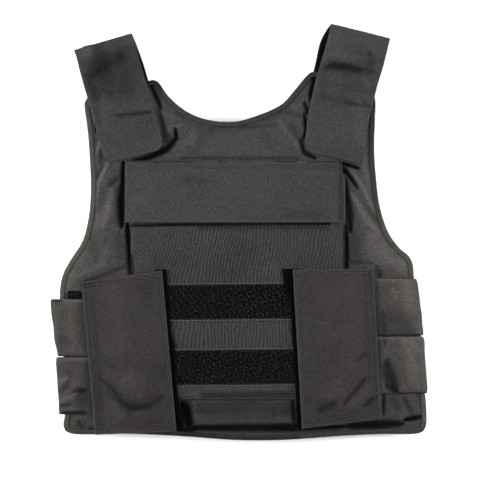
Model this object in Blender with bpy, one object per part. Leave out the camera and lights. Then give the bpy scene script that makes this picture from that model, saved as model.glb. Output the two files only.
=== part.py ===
"""Soft armour vest laid on its back, front up, built in metres.

A padded front panel bows over a flat back panel. Two shoulder straps run from the back panel's shoulder
tabs, fold over and lie on the front. On each side two elastic bands leave the back panel's edge, turn round
the front panel's edge and end in a wide hook-and-loop flap that lies on the front. The front carries a
plate pocket, the pocket's cover flap and strips of loop tape.

+X is to the right as one looks at the front, +Y points to the neck and +Z up from the surface.
Left and right in the names are those of someone looking at the front. The origin is on the surface,
under the middle of the vest.
"""

import math

import bmesh
import bpy
import numpy as np

# Cloth, tape and padding thicknesses, and the clearance between pieces that touch.
PANEL_THICK = 0.0100
RIM_THICK = 0.0026
BINDING_WALL = 0.0010
BINDING_DEPTH = 0.0058
STRAP_THICK = 0.0026
BAND_THICK = 0.0020
FLAP_THICK = 0.0030
COVER_THICK = 0.0024
TAPE_THICK = 0.0018
POCKET_WALL = 0.0016
GAP = 0.0004
SLOT_GAP = 0.0004

# Distances from a panel's finished outline, over the binding, to the rim's edge inside the binding, to
# where the padding starts and to where it has its full thickness, and to where a piece that lies on it
# is at full height.
RIM_EDGE = BINDING_WALL + SLOT_GAP
RIM_WIDTH = 0.0100
PAD_WIDTH = 0.0260
SEAT_WIDTH = 0.0230

# The front panel's bow over the back panel: its lining stands SIDE_Z over the surface at the sides and
# BOW more at the crest, and falls off towards the hem and the shoulder tabs.
SIDE_Z = 0.0135
BOW = 0.0340
HALF_WIDTH = 0.2680
CREST_Y = -0.060
HEM_Y, HEM_SHARE = -0.295, 0.80
TAB_Y, TAB_SHARE = 0.225, 0.30

# Finished outline of the front panel, over the binding: hem and top from left to right, sides from the
# hem up to the shoulder tabs. Columns x, y.
HEM = [
    (-0.2460, -0.2830), (-0.2357, -0.2868), (-0.1627, -0.2858), (-0.0804, -0.2891), (0.0014, -0.2945),
    (0.0720, -0.2938), (0.1427, -0.2891), (0.2016, -0.2867), (0.2550, -0.2862), (0.2625, -0.2825),
]
RIGHT_SIDE = [
    (0.2625, -0.2825), (0.2658, -0.2750), (0.2660, -0.2500), (0.2632, -0.2200), (0.2582, -0.1448),
    (0.2518, -0.0900), (0.2484, -0.0653), (0.2470, -0.0480), (0.2420, -0.0359), (0.2275, -0.0230),
    (0.2133, -0.0041), (0.2045, 0.0170), (0.1985, 0.0400), (0.1945, 0.0720), (0.1917, 0.1122),
    (0.1927, 0.1555), (0.1935, 0.1850), (0.1915, 0.1935),
]
TOP = [
    (-0.2190, 0.1835), (-0.2130, 0.1908), (-0.1700, 0.2035), (-0.1296, 0.2131), (-0.1215, 0.2148),
    (-0.1145, 0.2120), (-0.1003, 0.1926), (-0.0785, 0.1730), (-0.0568, 0.1620), (-0.0351, 0.1566),
    (-0.0133, 0.1553), (0.0030, 0.1570), (0.0231, 0.1633), (0.0449, 0.1718), (0.0623, 0.1818),
    (0.0795, 0.2012), (0.0949, 0.2197), (0.1015, 0.2255), (0.1095, 0.2265), (0.1500, 0.2130),
    (0.1860, 0.1990), (0.1915, 0.1935),
]
LEFT_SIDE = [
    (-0.2460, -0.2830), (-0.2490, -0.2745), (-0.2470, -0.2600), (-0.2475, -0.2000), (-0.2520, -0.1400),
    (-0.2542, -0.0937), (-0.2530, -0.0750), (-0.2485, -0.0582), (-0.2381, -0.0395), (-0.2217, -0.0136),
    (-0.2134, 0.0170), (-0.2098, 0.0560), (-0.2112, 0.1012), (-0.2144, 0.1426), (-0.2190, 0.1760),
    (-0.2190, 0.1835),
]

# The back panel is the same shape a little smaller, so the front hides it. Its seam runs round halfway
# up its padding: the underside of the sewn rim stands BACK_RIM_Z off the surface.
BACK_SCALE = 0.976
BACK_CENTRE_Y = -0.040
BACK_RIM_Z = 0.0046

# Number of cells across and along each panel, and how much they crowd towards its sides and ends.
FRONT_CELLS = (26, 24)
BACK_CELLS = (20, 18)
SIDE_CROWDING = 0.50
END_CROWDING = 0.20

# Main folds of the front panel's cloth: a line from x0, y0 to x1, y1, its half width and its height.
FOLDS = [
    {"x0": -0.194, "y0": 0.075, "x1": -0.206, "y1": 0.045, "width": 0.011, "height": 0.0028},
    {"x0": -0.180, "y0": 0.055, "x1": -0.176, "y1": 0.005, "width": 0.012, "height": -0.0030},
    {"x0": -0.198, "y0": 0.010, "x1": -0.214, "y1": -0.035, "width": 0.014, "height": 0.0028},
    {"x0": 0.176, "y0": 0.080, "x1": 0.188, "y1": 0.045, "width": 0.011, "height": 0.0028},
    {"x0": 0.166, "y0": 0.060, "x1": 0.172, "y1": 0.010, "width": 0.012, "height": -0.0030},
    {"x0": 0.190, "y0": 0.015, "x1": 0.210, "y1": -0.030, "width": 0.014, "height": 0.0028},
    {"x0": 0.050, "y0": 0.135, "x1": 0.075, "y1": 0.150, "width": 0.012, "height": 0.0022},
    {"x0": -0.040, "y0": -0.268, "x1": 0.060, "y1": -0.270, "width": 0.012, "height": 0.0028},
]

# Plate pocket: its edges, the depth of its inside and how much shallower it is at the mouth.
POCKET_X = (-0.1520, 0.1500)
POCKET_Y = (-0.2370, 0.0810)
POCKET_DEPTH = 0.0085
MOUTH_DEPTH = 0.0055
MOUTH_RUN = 0.080
POCKET_FOOT = 0.0020
POCKET_TURN = 0.0020
POCKET_CELLS = (12, 12)

# Cover flap over the pocket's mouth: sewn to the panel along its top edge, free along the bottom.
COVER_X = (-0.1605, 0.1455)
COVER_Y = (0.0128, 0.1000)
COVER_SEAM = 0.0060
COVER_RAMP = 0.0100
COVER_CELLS = (12, 5)

# Loop tape across the pocket, two strips that rise a little to the right, and the loop tape under the
# bands beside the pocket, whose end shows over the left one: its distance from the panel's edge, its
# inner end and its lower and upper edges.
TAPE_X = (-0.1480, 0.1460)
TAPE_HEIGHT = 0.0495
TAPE_MIDDLES = {"upper": -0.0985, "lower": -0.1905}
TAPE_RISE = 0.010
SIDE_TAPES = {
    "left": {"edge": 0.0115, "inner": -0.1650, "y": (-0.1335, -0.0840)},
    "right": {"edge": 0.0115, "inner": 0.1650, "y": (-0.1250, -0.0755)},
}

# Side flaps: corners in x, y, from the outer top corner round by the inner top to the outer bottom.
FLAP_CORNERS = {
    "left": [(-0.2228, -0.0713), (-0.1075, -0.0548), (-0.0875, -0.2809), (-0.2028, -0.2868)],
    "right": [(0.1897, -0.0520), (0.0755, -0.0535), (0.0886, -0.2773), (0.2016, -0.2640)],
}
FLAP_CELLS = (9, 9)
FLAP_RAMP = {"left": (0.1540, 0.1930), "right": (0.1520, 0.1880)}
FLAP_SAG = 0.0035
FLAP_SAG_Y = (-0.240, -0.285)

# Elastic side bands: the side, the top and bottom edges in y, and how far the band's outside stands off
# the front panel's edge at its bottom and at its top.
BANDS = [
    {"name": "left_upper", "side": -1, "top": -0.0960, "bottom": -0.1765, "off": (0.0075, 0.0130)},
    {"name": "left_lower", "side": -1, "top": -0.1785, "bottom": -0.2590, "off": (0.0080, 0.0105)},
    {"name": "right_upper", "side": 1, "top": -0.0670, "bottom": -0.1470, "off": (0.0031, 0.0032)},
    {"name": "right_lower", "side": 1, "top": -0.1490, "bottom": -0.2290, "off": (0.0031, 0.0032)},
]
BAND_LIFT = TAPE_THICK + GAP
BAND_TUCK = 0.0100
BAND_UNDER_FLAP = 0.0100
BAND_TURN = 0.0045
BAND_ROWS = 4
ARC_STEPS = 3

# Shoulder straps, from the end sewn under the back panel's tab over the fold to the end on the chest:
# middle of the strap in x, y and z, and the angle of its width to +X in degrees. From the row where
# on_front is 1, the strap lies on the front panel and its height is worked out.
STRAP_WIDTH = 0.086
STRAP_CORNER = 0.012
LEFT_STRAP = [
    {"x": -0.1660, "y": 0.1880, "z": 0.0015, "turn": 15.0, "on_front": 0},
    {"x": -0.1775, "y": 0.2280, "z": 0.0015, "turn": 16.0, "on_front": 0},
    {"x": -0.1885, "y": 0.2580, "z": 0.0030, "turn": 16.3, "on_front": 0},
    {"x": -0.1930, "y": 0.2690, "z": 0.0090, "turn": 16.3, "on_front": 0},
    {"x": -0.1895, "y": 0.2600, "z": 0.0160, "turn": 16.3, "on_front": 0},
    {"x": -0.1830, "y": 0.2350, "z": 0.0240, "turn": 16.3, "on_front": 0},
    {"x": -0.1730, "y": 0.2010, "z": 0.0300, "turn": 16.0, "on_front": 1},
    {"x": -0.1600, "y": 0.1550, "z": 0.0400, "turn": 15.5, "on_front": 1},
    {"x": -0.1465, "y": 0.1065, "z": 0.0400, "turn": 13.5, "on_front": 1},
]
RIGHT_STRAP = [
    {"x": 0.1430, "y": 0.1985, "z": 0.0015, "turn": -19.0, "on_front": 0},
    {"x": 0.1500, "y": 0.2280, "z": 0.0018, "turn": -18.5, "on_front": 0},
    {"x": 0.1565, "y": 0.2560, "z": 0.0060, "turn": -17.5, "on_front": 0},
    {"x": 0.1665, "y": 0.2760, "z": 0.0150, "turn": -15.0, "on_front": 0},
    {"x": 0.1722, "y": 0.2830, "z": 0.0270, "turn": -14.0, "on_front": 0},
    {"x": 0.1695, "y": 0.2720, "z": 0.0390, "turn": -14.0, "on_front": 0},
    {"x": 0.1625, "y": 0.2450, "z": 0.0430, "turn": -14.5, "on_front": 0},
    {"x": 0.1555, "y": 0.2220, "z": 0.0410, "turn": -15.0, "on_front": 0},
    {"x": 0.1480, "y": 0.1930, "z": 0.0400, "turn": -14.0, "on_front": 1},
    {"x": 0.1399, "y": 0.1570, "z": 0.0400, "turn": -12.5, "on_front": 1},
    {"x": 0.1345, "y": 0.1045, "z": 0.0400, "turn": -11.5, "on_front": 1},
]
STRAP_STEPS = 3
STRAP_COLUMNS = 4

# Finishes: base colour, roughness.
FINISHES = {
    "nylon": ((0.050, 0.048, 0.046), 0.70),
    "lining": ((0.030, 0.030, 0.031), 0.80),
    "binding": ((0.060, 0.058, 0.048), 0.75),
    "elastic": ((0.062, 0.059, 0.054), 0.85),
    "loop_tape": ((0.010, 0.010, 0.010), 0.95),
}

# Height of a binding's outer face over the underside of the rim that it wraps.
BINDING_TOP = RIM_THICK + SLOT_GAP + BINDING_WALL


def smoothstep(t):
    t = np.clip(t, 0.0, 1.0)
    return t * t * (3.0 - 2.0 * t)


def smooth_line(points, steps=30):
    """A cubic through the rows of points, its tangents weighted by the square roots of the spans, so that
    short spans beside long ones don't overshoot. Columns past the third follow the same curve."""
    p = np.array(points, float)
    spans = np.diff(p, axis=0)
    h = np.sqrt(np.linalg.norm(spans[:, :3], axis=1))[:, None]
    slope = spans / h
    tangent = np.vstack([slope[:1], (slope[:-1] * h[1:] + slope[1:] * h[:-1]) / (h[:-1] + h[1:]), slope[-1:]])
    t = np.linspace(0.0, 1.0, steps, endpoint=False)[:, None]
    pieces = [
        (2 * t**3 - 3 * t**2 + 1) * p[i]
        + (t**3 - 2 * t**2 + t) * h[i] * tangent[i]
        + (3 * t**2 - 2 * t**3) * p[i + 1]
        + (t**3 - t**2) * h[i] * tangent[i + 1]
        for i in range(len(spans))
    ]
    return np.vstack([*pieces, p[-1:]])


def distance_to(line, x, y):
    """Distance from each point to the nearest point of a fine line."""
    spot = np.stack([x, y], axis=-1)[..., None, :]
    return np.sqrt(((spot - line) ** 2).sum(axis=-1).min(axis=-1))


def inset_sides(sides, inset):
    """The four sides of an outline moved inwards. Points that a tight corner would fold over are
    dropped, and neighbouring sides meet halfway between their ends."""
    outline = np.vstack(sides)
    moved = []
    for side, inward in zip(sides, (1.0, 1.0, -1.0, -1.0)):
        tangent = np.gradient(side, axis=0)
        normal = np.column_stack([-tangent[:, 1], tangent[:, 0]])
        normal *= inward / np.linalg.norm(normal, axis=1)[:, None]
        line = side + inset * normal
        moved.append(line[distance_to(outline, line[:, 0], line[:, 1]) > 0.98 * inset])
    hem, right, top, left = moved
    low_left, low_right = (hem[0] + left[0]) / 2, (hem[-1] + right[0]) / 2
    high_left, high_right = (top[0] + left[-1]) / 2, (top[-1] + right[-1]) / 2
    return [
        np.vstack([low_left, hem[1:-1], low_right]),
        np.vstack([low_right, right[1:-1], high_right]),
        np.vstack([high_left, top[1:-1], high_right]),
        np.vstack([low_left, left[1:-1], high_left]),
    ]


def crowded_shares(cells, crowding):
    """Places from 0 to 1 of the lines between the cells, closer together towards both ends."""
    t = np.linspace(0.0, 1.0, cells + 1)
    return t - crowding * np.sin(2.0 * np.pi * t) / (2.0 * np.pi)


def points_along(line, shares, axis):
    """The points of a fine line at the given shares of its span along x, axis 0, or y, axis 1."""
    reach = np.maximum.accumulate(line[:, axis])
    at = reach[0] + shares * (reach[-1] - reach[0])
    return np.column_stack([np.interp(at, reach, line[:, k]) for k in (0, 1)])


def ring_points(sides, across, along):
    """The grid's border: hem, right side, top and left side cut at the columns and rows."""
    hem, right, top, left = sides
    return (
        points_along(hem, across, 0), points_along(right, along, 1),
        points_along(top, across, 0), points_along(left, along, 1),
    )


def coons_patch(sides, across, along):
    """Points over a four-sided outline, blended from its opposite sides."""
    hem, right, top, left = ring_points(sides, across, along)
    u, v = across[:, None, None], along[None, :, None]
    from_ends = (1 - v) * hem[:, None] + v * top[:, None]
    from_sides = (1 - u) * left[None] + u * right[None]
    corners = (1 - u) * ((1 - v) * hem[0] + v * top[0]) + u * ((1 - v) * hem[-1] + v * top[-1])
    return from_ends + from_sides - corners


def framed_patch(outline, across, along, insets):
    """A patch inside the last inset of the outline, with a ring of cells between the earlier ones, so
    that the rings run parallel to the outline."""
    sides = inset_sides(outline, insets[0])
    if len(insets) == 1:
        return coons_patch(sides, across, along)
    grid = np.empty((len(across), len(along), 2))
    grid[:, 0], grid[-1], grid[:, -1], grid[0] = ring_points(sides, across, along)
    inner_shares = [(s[1:-1] - s[1]) / (s[-2] - s[1]) for s in (across, along)]
    grid[1:-1, 1:-1] = framed_patch(outline, *inner_shares, insets[1:])
    return grid


def panel_shares(cells):
    return crowded_shares(cells[0], SIDE_CROWDING), crowded_shares(cells[1], END_CROWDING)


FRONT_OUTLINE = [smooth_line(side) for side in (HEM, RIGHT_SIDE, TOP, LEFT_SIDE)]
BACK_OUTLINE = [
    (side - (0.0, BACK_CENTRE_Y)) * BACK_SCALE + (0.0, BACK_CENTRE_Y) for side in FRONT_OUTLINE
]


def lining_z(x, y):
    """Height of the front panel's lining."""
    across = np.clip(1.0 - (x / HALF_WIDTH) ** 2, 0.0, None)
    rise = y - CREST_Y
    to_hem = 1.0 - (1.0 - HEM_SHARE) * (rise / (HEM_Y - CREST_Y)) ** 2
    to_tab = 1.0 - (1.0 - TAB_SHARE) * (rise / (TAB_Y - CREST_Y)) ** 2
    return SIDE_Z + BOW * across * np.where(rise < 0.0, to_hem, to_tab)


def padded_share(outline, x, y):
    """0 along a panel's sewn rim, rising to 1 where the padding is full."""
    inside = distance_to(np.vstack(outline), x, y)
    return np.clip((inside - RIM_WIDTH) / (PAD_WIDTH - RIM_WIDTH), 0.0, 1.0)


def fold_relief(x, y):
    """Sum of the cloth's folds: each is a rounded ridge or valley along its line, fading at its ends."""
    total = np.zeros_like(x)
    for fold in FOLDS:
        run = np.array([fold["x1"] - fold["x0"], fold["y1"] - fold["y0"]])
        t = ((x - fold["x0"]) * run[0] + (y - fold["y0"]) * run[1]) / (run @ run)
        near = np.clip(t, 0.0, 1.0)
        away = np.hypot(x - fold["x0"] - near * run[0], y - fold["y0"] - near * run[1])
        total += fold["height"] * np.exp(-((away / fold["width"]) ** 2))
    return total


def front_top(x, y):
    """Height of the front panel's outer face, folds left out."""
    return lining_z(x, y) + RIM_THICK + (PANEL_THICK - RIM_THICK) * padded_share(FRONT_OUTLINE, x, y)


def front_seat(x, y):
    """Height at which a piece lies on the front panel: over the binding, then up the padding's shoulder,
    reaching its top a little early because cloth doesn't bend in as sharply."""
    inside = distance_to(np.vstack(FRONT_OUTLINE), x, y)
    climb = np.clip((inside - RIM_WIDTH) / (SEAT_WIDTH - RIM_WIDTH), 0.0, 1.0)
    return lining_z(x, y) + GAP + BINDING_TOP + (PANEL_THICK - BINDING_TOP) * climb


def panel_face(x, y):
    """Height of the fully padded front panel's outer face."""
    return lining_z(x, y) + PANEL_THICK


def pocket_inside(x, y):
    """Height of the inner face of the pocket's front wall."""
    deepening = smoothstep((POCKET_Y[1] - y) / MOUTH_RUN)
    return panel_face(x, y) + MOUTH_DEPTH + (POCKET_DEPTH - MOUTH_DEPTH) * deepening


def pocket_face(x, y):
    return pocket_inside(x, y) + POCKET_WALL


def tape_face(x, y):
    return pocket_face(x, y) + GAP + TAPE_THICK


def clear_scene():
    for obj in list(bpy.data.objects):
        bpy.data.objects.remove(obj)


def finish_material(name):
    """A Principled material in one of the vest's finishes."""
    material = bpy.data.materials.get(name)
    if material is None:
        colour, roughness = FINISHES[name]
        material = bpy.data.materials.new(name)
        material.use_nodes = True
        shader = material.node_tree.nodes["Principled BSDF"]
        shader.inputs["Base Color"].default_value = (*colour, 1.0)
        shader.inputs["Roughness"].default_value = roughness
        shader.inputs["Metallic"].default_value = 0.0
    return material


def add_object(name, bm, finish, collection):
    mesh = bpy.data.meshes.new(name)
    bm.to_mesh(mesh)
    bm.free()
    mesh.materials.append(finish_material(finish))
    mesh.shade_smooth()
    mesh.set_sharp_from_angle(angle=math.radians(35))
    obj = bpy.data.objects.new(name, mesh)
    collection.objects.link(obj)
    return obj


def grid_sheet(points):
    """A grid primitive whose vertices are moved to the points, an array of columns by rows by 3. Each
    vertex keeps its place in the array."""
    columns, rows = points.shape[0] - 1, points.shape[1] - 1
    bm = bmesh.new()
    bmesh.ops.create_grid(bm, x_segments=columns, y_segments=rows, size=0.5)
    place = bm.verts.layers.int.new("place")
    for vertex in bm.verts:
        i, j = round((vertex.co.x + 0.5) * columns), round((vertex.co.y + 0.5) * rows)
        vertex[place] = i * (rows + 1) + j
        vertex.co = points[i, j]
    return bm, place


def solid_between(name, low, high, finish, collection):
    """A closed body between two grids of points: the lower grid's faces are extruded to the upper."""
    bm, place = grid_sheet(low)
    raised = bmesh.ops.extrude_face_region(bm, geom=bm.faces[:])["geom"]
    upper = high.reshape(-1, 3)
    for vertex in [item for item in raised if isinstance(item, bmesh.types.BMVert)]:
        vertex.co = upper[vertex[place]]
    bmesh.ops.recalc_face_normals(bm, faces=bm.faces[:])
    return add_object(name, bm, finish, collection)


def layer(name, plan, low, high, finish, collection):
    """A closed body over a plan grid, between two heights."""
    return solid_between(name, np.dstack([plan, low]), np.dstack([plan, high]), finish, collection)


def offset_both_ways(points, thickness):
    """The two faces of a sheet whose middle is the grid of points."""
    along, across = np.gradient(points, axis=0), np.gradient(points, axis=1)
    normal = np.cross(along, across)
    normal *= thickness / 2.0 / np.linalg.norm(normal, axis=-1)[..., None]
    return points - normal, points + normal


def panel(name, outline, cells, low, high, finish, collection):
    plan = framed_patch(outline, *panel_shares(cells), (RIM_EDGE, RIM_WIDTH, PAD_WIDTH))
    x, y = plan[..., 0], plan[..., 1]
    layer(name, plan, low(x, y), high(x, y), finish, collection)


def back_low(x, y):
    return BACK_RIM_Z * (1.0 - padded_share(BACK_OUTLINE, x, y))


def back_high(x, y):
    share = padded_share(BACK_OUTLINE, x, y)
    return BACK_RIM_Z + RIM_THICK + (PANEL_THICK - BACK_RIM_Z - RIM_THICK) * share


def front_high(x, y):
    share = padded_share(FRONT_OUTLINE, x, y)
    return front_top(x, y) + fold_relief(x, y) * share


def binding(name, outline, cells, rim_low, collection):
    """Tape folded over a panel's rim: a square U carried round the outline, a section at each point of
    the rim. The section's columns are the distance outwards and the height over the rim's underside."""
    hem, right, top, left = ring_points(inset_sides(outline, RIM_EDGE), *panel_shares(cells))
    path = np.vstack([hem[:-1], right[:-1], top[:0:-1], left[:0:-1]])
    tangent = np.roll(path, -1, axis=0) - np.roll(path, 1, axis=0)
    outward = np.column_stack([tangent[:, 1], -tangent[:, 0]])
    outward /= np.linalg.norm(outward, axis=1)[:, None]
    edges = path - np.roll(path, 1, axis=0)
    edges /= np.linalg.norm(edges, axis=1)[:, None]
    along = tangent / np.linalg.norm(tangent, axis=1)[:, None]
    mitre = 1.0 / np.clip((edges * along).sum(axis=1), 0.8, 1.0)
    low, wall = -SLOT_GAP - BINDING_WALL, BINDING_WALL
    section = np.array([
        (SLOT_GAP + wall, low), (SLOT_GAP + wall, BINDING_TOP), (-BINDING_DEPTH, BINDING_TOP),
        (-BINDING_DEPTH, BINDING_TOP - wall), (SLOT_GAP, BINDING_TOP - wall), (SLOT_GAP, low + wall),
        (-BINDING_DEPTH, low + wall), (-BINDING_DEPTH, low),
    ])
    reach = section[None, :, 0] * mitre[:, None]
    plan = path[:, None] + outward[:, None] * reach[..., None]
    height = rim_low(plan[..., 0], plan[..., 1]) + section[None, :, 1]
    points = np.dstack([plan, height])
    bm = bmesh.new()
    rings = [[bm.verts.new(point) for point in ring] for ring in points]
    for ring, after in zip(rings, rings[1:] + rings[:1]):
        for k in range(len(ring)):
            m = (k + 1) % len(ring)
            bm.faces.new((ring[k], ring[m], after[m], after[k]))
    bmesh.ops.recalc_face_normals(bm, faces=bm.faces[:])
    return add_object(name, bm, "binding", collection)


def flat_rim(x, y):
    return np.full_like(x, BACK_RIM_Z)


def rectangle(x_range, y_range, cells):
    """A plan grid over a rectangle."""
    xs = np.linspace(*x_range, cells[0] + 1)
    ys = np.linspace(*y_range, cells[1] + 1)
    return np.stack(np.meshgrid(xs, ys, indexing="ij"), axis=-1)


def add_plate_pocket(collection):
    """A tray turned face down on the panel: its side and bottom walls stand on narrow feet, and the
    front wall runs to the open mouth at the top."""
    inner_x = (POCKET_X[0] + POCKET_FOOT + POCKET_TURN, POCKET_X[1] - POCKET_FOOT - POCKET_TURN)
    inner_y = (POCKET_Y[0] + POCKET_FOOT + POCKET_TURN, POCKET_Y[1])
    xs = np.linspace(*inner_x, POCKET_CELLS[0] + 1)
    ys = np.linspace(*inner_y, POCKET_CELLS[1] + 1)
    left_foot = [POCKET_X[0], POCKET_X[0] + POCKET_FOOT]
    right_foot = [POCKET_X[1] - POCKET_FOOT, POCKET_X[1]]
    xs = np.concatenate([left_foot, xs, right_foot])
    ys = np.concatenate([[POCKET_Y[0], POCKET_Y[0] + POCKET_FOOT], ys])
    plan = np.stack(np.meshgrid(xs, ys, indexing="ij"), axis=-1)
    x, y = plan[..., 0], plan[..., 1]
    low = pocket_inside(x, y)
    foot = panel_face(x, y) + GAP
    low[:2], low[-2:], low[:, :2] = foot[:2], foot[-2:], foot[:, :2]
    layer("plate_pocket", plan, low, pocket_face(x, y), "nylon", collection)


def add_cover(collection):
    """The pocket's cover: its seam lies on the panel, then it climbs onto the pocket and hangs down."""
    ys = np.linspace(COVER_Y[0], COVER_Y[1] - COVER_SEAM - COVER_RAMP, COVER_CELLS[1] + 1)
    seam_start = COVER_Y[1] - COVER_SEAM
    ys = np.concatenate([ys, [(ys[-1] + seam_start) / 2, seam_start, COVER_Y[1]]])
    xs = np.linspace(*COVER_X, COVER_CELLS[0] + 1)
    plan = np.stack(np.meshgrid(xs, ys, indexing="ij"), axis=-1)
    x, y = plan[..., 0], plan[..., 1]
    down = smoothstep((y - seam_start + COVER_RAMP) / COVER_RAMP)
    low = GAP + pocket_face(x, y) + (panel_face(x, y) - pocket_face(x, y)) * down
    layer("id_flap", plan, low, low + COVER_THICK, "nylon", collection)


def side_x(sides, side, y):
    """Where a panel's left or right side stands at each y."""
    line = sides[1] if side > 0 else sides[3]
    return np.interp(y, line[:, 1], line[:, 0])


def add_loop_strips(collection):
    for name, middle in TAPE_MIDDLES.items():
        plan = rectangle(TAPE_X, (middle - TAPE_HEIGHT / 2, middle + TAPE_HEIGHT / 2), (12, 2))
        plan[..., 1] += TAPE_RISE * plan[..., 0]
        x, y = plan[..., 0], plan[..., 1]
        low = pocket_face(x, y) + GAP
        layer(f"loop_strip_{name}", plan, low, tape_face(x, y), "loop_tape", collection)
    for name, tape in SIDE_TAPES.items():
        side = math.copysign(1.0, tape["inner"])
        ys = np.linspace(*tape["y"], 4)
        edge = side_x(FRONT_OUTLINE, side, ys)
        xs = [edge - side * tape["edge"], edge - side * SEAT_WIDTH, (edge + tape["inner"]) / 2,
              np.full_like(ys, tape["inner"])]
        plan = np.stack([np.array(xs), np.broadcast_to(ys, (len(xs), len(ys)))], axis=-1)
        low = front_seat(plan[..., 0], plan[..., 1])
        layer(f"side_loop_{name}", plan, low, low + TAPE_THICK, "loop_tape", collection)


def flap_low(side, x, y):
    """Height of a side flap's underside: on the loop tapes over the pocket, then down a ramp beside it
    and onto the bands' ends, and hanging a little at the hem."""
    start, end = FLAP_RAMP[side]
    ramp = smoothstep((np.abs(x) - start) / (end - start))
    on_tapes = tape_face(x, y) + GAP
    on_bands = panel_face(x, y) + BAND_LIFT + BAND_THICK + 2.0 * GAP
    sag = FLAP_SAG * smoothstep((y - FLAP_SAG_Y[0]) / (FLAP_SAG_Y[1] - FLAP_SAG_Y[0]))
    return on_tapes + (on_bands - on_tapes) * ramp - sag * (1.0 - ramp)


def add_side_flap(side, collection):
    outer_top, inner_top, inner_bottom, outer_bottom = np.array(FLAP_CORNERS[side])
    u = np.linspace(0.0, 1.0, FLAP_CELLS[0] + 1)[:, None, None]
    v = np.linspace(0.0, 1.0, FLAP_CELLS[1] + 1)[None, :, None]
    plan = (1 - v) * ((1 - u) * outer_bottom + u * inner_bottom) + v * ((1 - u) * outer_top + u * inner_top)
    low = flap_low(side, plan[..., 0], plan[..., 1])
    layer(f"side_flap_{side}", plan, low, low + FLAP_THICK, "nylon", collection)


def flap_outer_x(side, y):
    outer_top, _, _, outer_bottom = FLAP_CORNERS["right" if side > 0 else "left"]
    return np.interp(y, [outer_bottom[1], outer_top[1]], [outer_bottom[0], outer_top[0]])


def quarter_arc(centre, reach, first):
    """Points of an ellipse's quarter, in x and z, from the angle first on."""
    angle = np.radians(first + np.linspace(0.0, 90.0, ARC_STEPS + 1))
    return np.column_stack([centre[0] + reach[0] * np.cos(angle), centre[1] + reach[1] * np.sin(angle)])


def add_band(band, collection):
    """An elastic band: from under the back panel's rim along the surface, round the front panel's edge
    and inwards over it to the flap. Each row is a path in x and z, worked out from the edges there."""
    side, middle = band["side"], BAND_THICK / 2.0
    rows = []
    for y in np.linspace(band["bottom"], band["top"], BAND_ROWS + 1):
        share = (y - band["bottom"]) / (band["top"] - band["bottom"])
        off = band["off"][0] + (band["off"][1] - band["off"][0]) * share
        edge = side * side_x(FRONT_OUTLINE, side, y)
        start = side * side_x(BACK_OUTLINE, side, y) - BAND_TUCK
        outer = edge + off - middle
        end = side * flap_outer_x(side, y) - BAND_UNDER_FLAP
        over = np.array([edge, edge - RIM_WIDTH, edge - SEAT_WIDTH, end])
        seat = front_seat(side * over, np.full(len(over), y)) + BAND_LIFT + middle
        path = np.vstack([
            [(start, middle)],
            quarter_arc((outer - BAND_TURN, middle + BAND_TURN), (BAND_TURN, BAND_TURN), -90.0),
            quarter_arc((edge, seat[0] - BAND_TURN), (outer - edge, BAND_TURN), 0.0),
            np.column_stack([over, seat])[1:],
        ])
        rows.append(np.column_stack([side * path[:, 0], np.full(len(path), y), path[:, 1]]))
    points = np.array(rows).transpose(1, 0, 2)
    solid_between(f"side_band_{band['name']}", *offset_both_ways(points, BAND_THICK), "elastic", collection)


def add_strap(name, stations, collection):
    """A strap carried through its stations. Past the fold it lies on the front panel's padding and
    bridges its rim, and the corners of its end on the chest are cut off."""
    rows = [[s["x"], s["y"], s["z"], s["turn"], s["on_front"]] for s in stations]
    path = smooth_line(rows, STRAP_STEPS)
    width = np.linspace(-0.5, 0.5, STRAP_COLUMNS + 1) * STRAP_WIDTH
    turn = np.radians(path[:, 3])
    x = path[:, :1] + np.cos(turn)[:, None] * width
    y = path[:, 1:2] + np.sin(turn)[:, None] * width
    seat = panel_face(x, y) + GAP + STRAP_THICK / 2.0
    z = path[:, 2:3] + (seat - path[:, 2:3]) * smoothstep(path[:, 4])[:, None]
    points = np.dstack([x, y, z])
    for column in (0, -1):
        back = points[-2, column] - points[-1, column]
        points[-1, column] += back * STRAP_CORNER / np.linalg.norm(back)
    solid_between(name, *offset_both_ways(points, STRAP_THICK), "nylon", collection)


def build_vest():
    clear_scene()
    vest = bpy.data.collections.new("armour_vest")
    bpy.context.scene.collection.children.link(vest)
    panel("back_panel", BACK_OUTLINE, BACK_CELLS, back_low, back_high, "lining", vest)
    binding("back_binding", BACK_OUTLINE, BACK_CELLS, flat_rim, vest)
    panel("front_panel", FRONT_OUTLINE, FRONT_CELLS, lining_z, front_high, "nylon", vest)
    binding("front_binding", FRONT_OUTLINE, FRONT_CELLS, lining_z, vest)
    add_plate_pocket(vest)
    add_cover(vest)
    add_loop_strips(vest)
    for side in FLAP_CORNERS:
        add_side_flap(side, vest)
    for band in BANDS:
        add_band(band, vest)
    add_strap("shoulder_strap_left", LEFT_STRAP, vest)
    add_strap("shoulder_strap_right", RIGHT_STRAP, vest)


build_vest()
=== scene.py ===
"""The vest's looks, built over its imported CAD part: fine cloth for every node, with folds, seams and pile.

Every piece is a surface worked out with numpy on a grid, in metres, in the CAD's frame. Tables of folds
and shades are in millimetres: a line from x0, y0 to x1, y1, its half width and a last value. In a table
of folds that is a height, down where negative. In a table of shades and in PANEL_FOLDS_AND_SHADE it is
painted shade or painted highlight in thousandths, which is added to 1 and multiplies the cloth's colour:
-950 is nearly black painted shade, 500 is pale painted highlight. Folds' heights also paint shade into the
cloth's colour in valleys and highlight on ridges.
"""

import math

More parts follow.
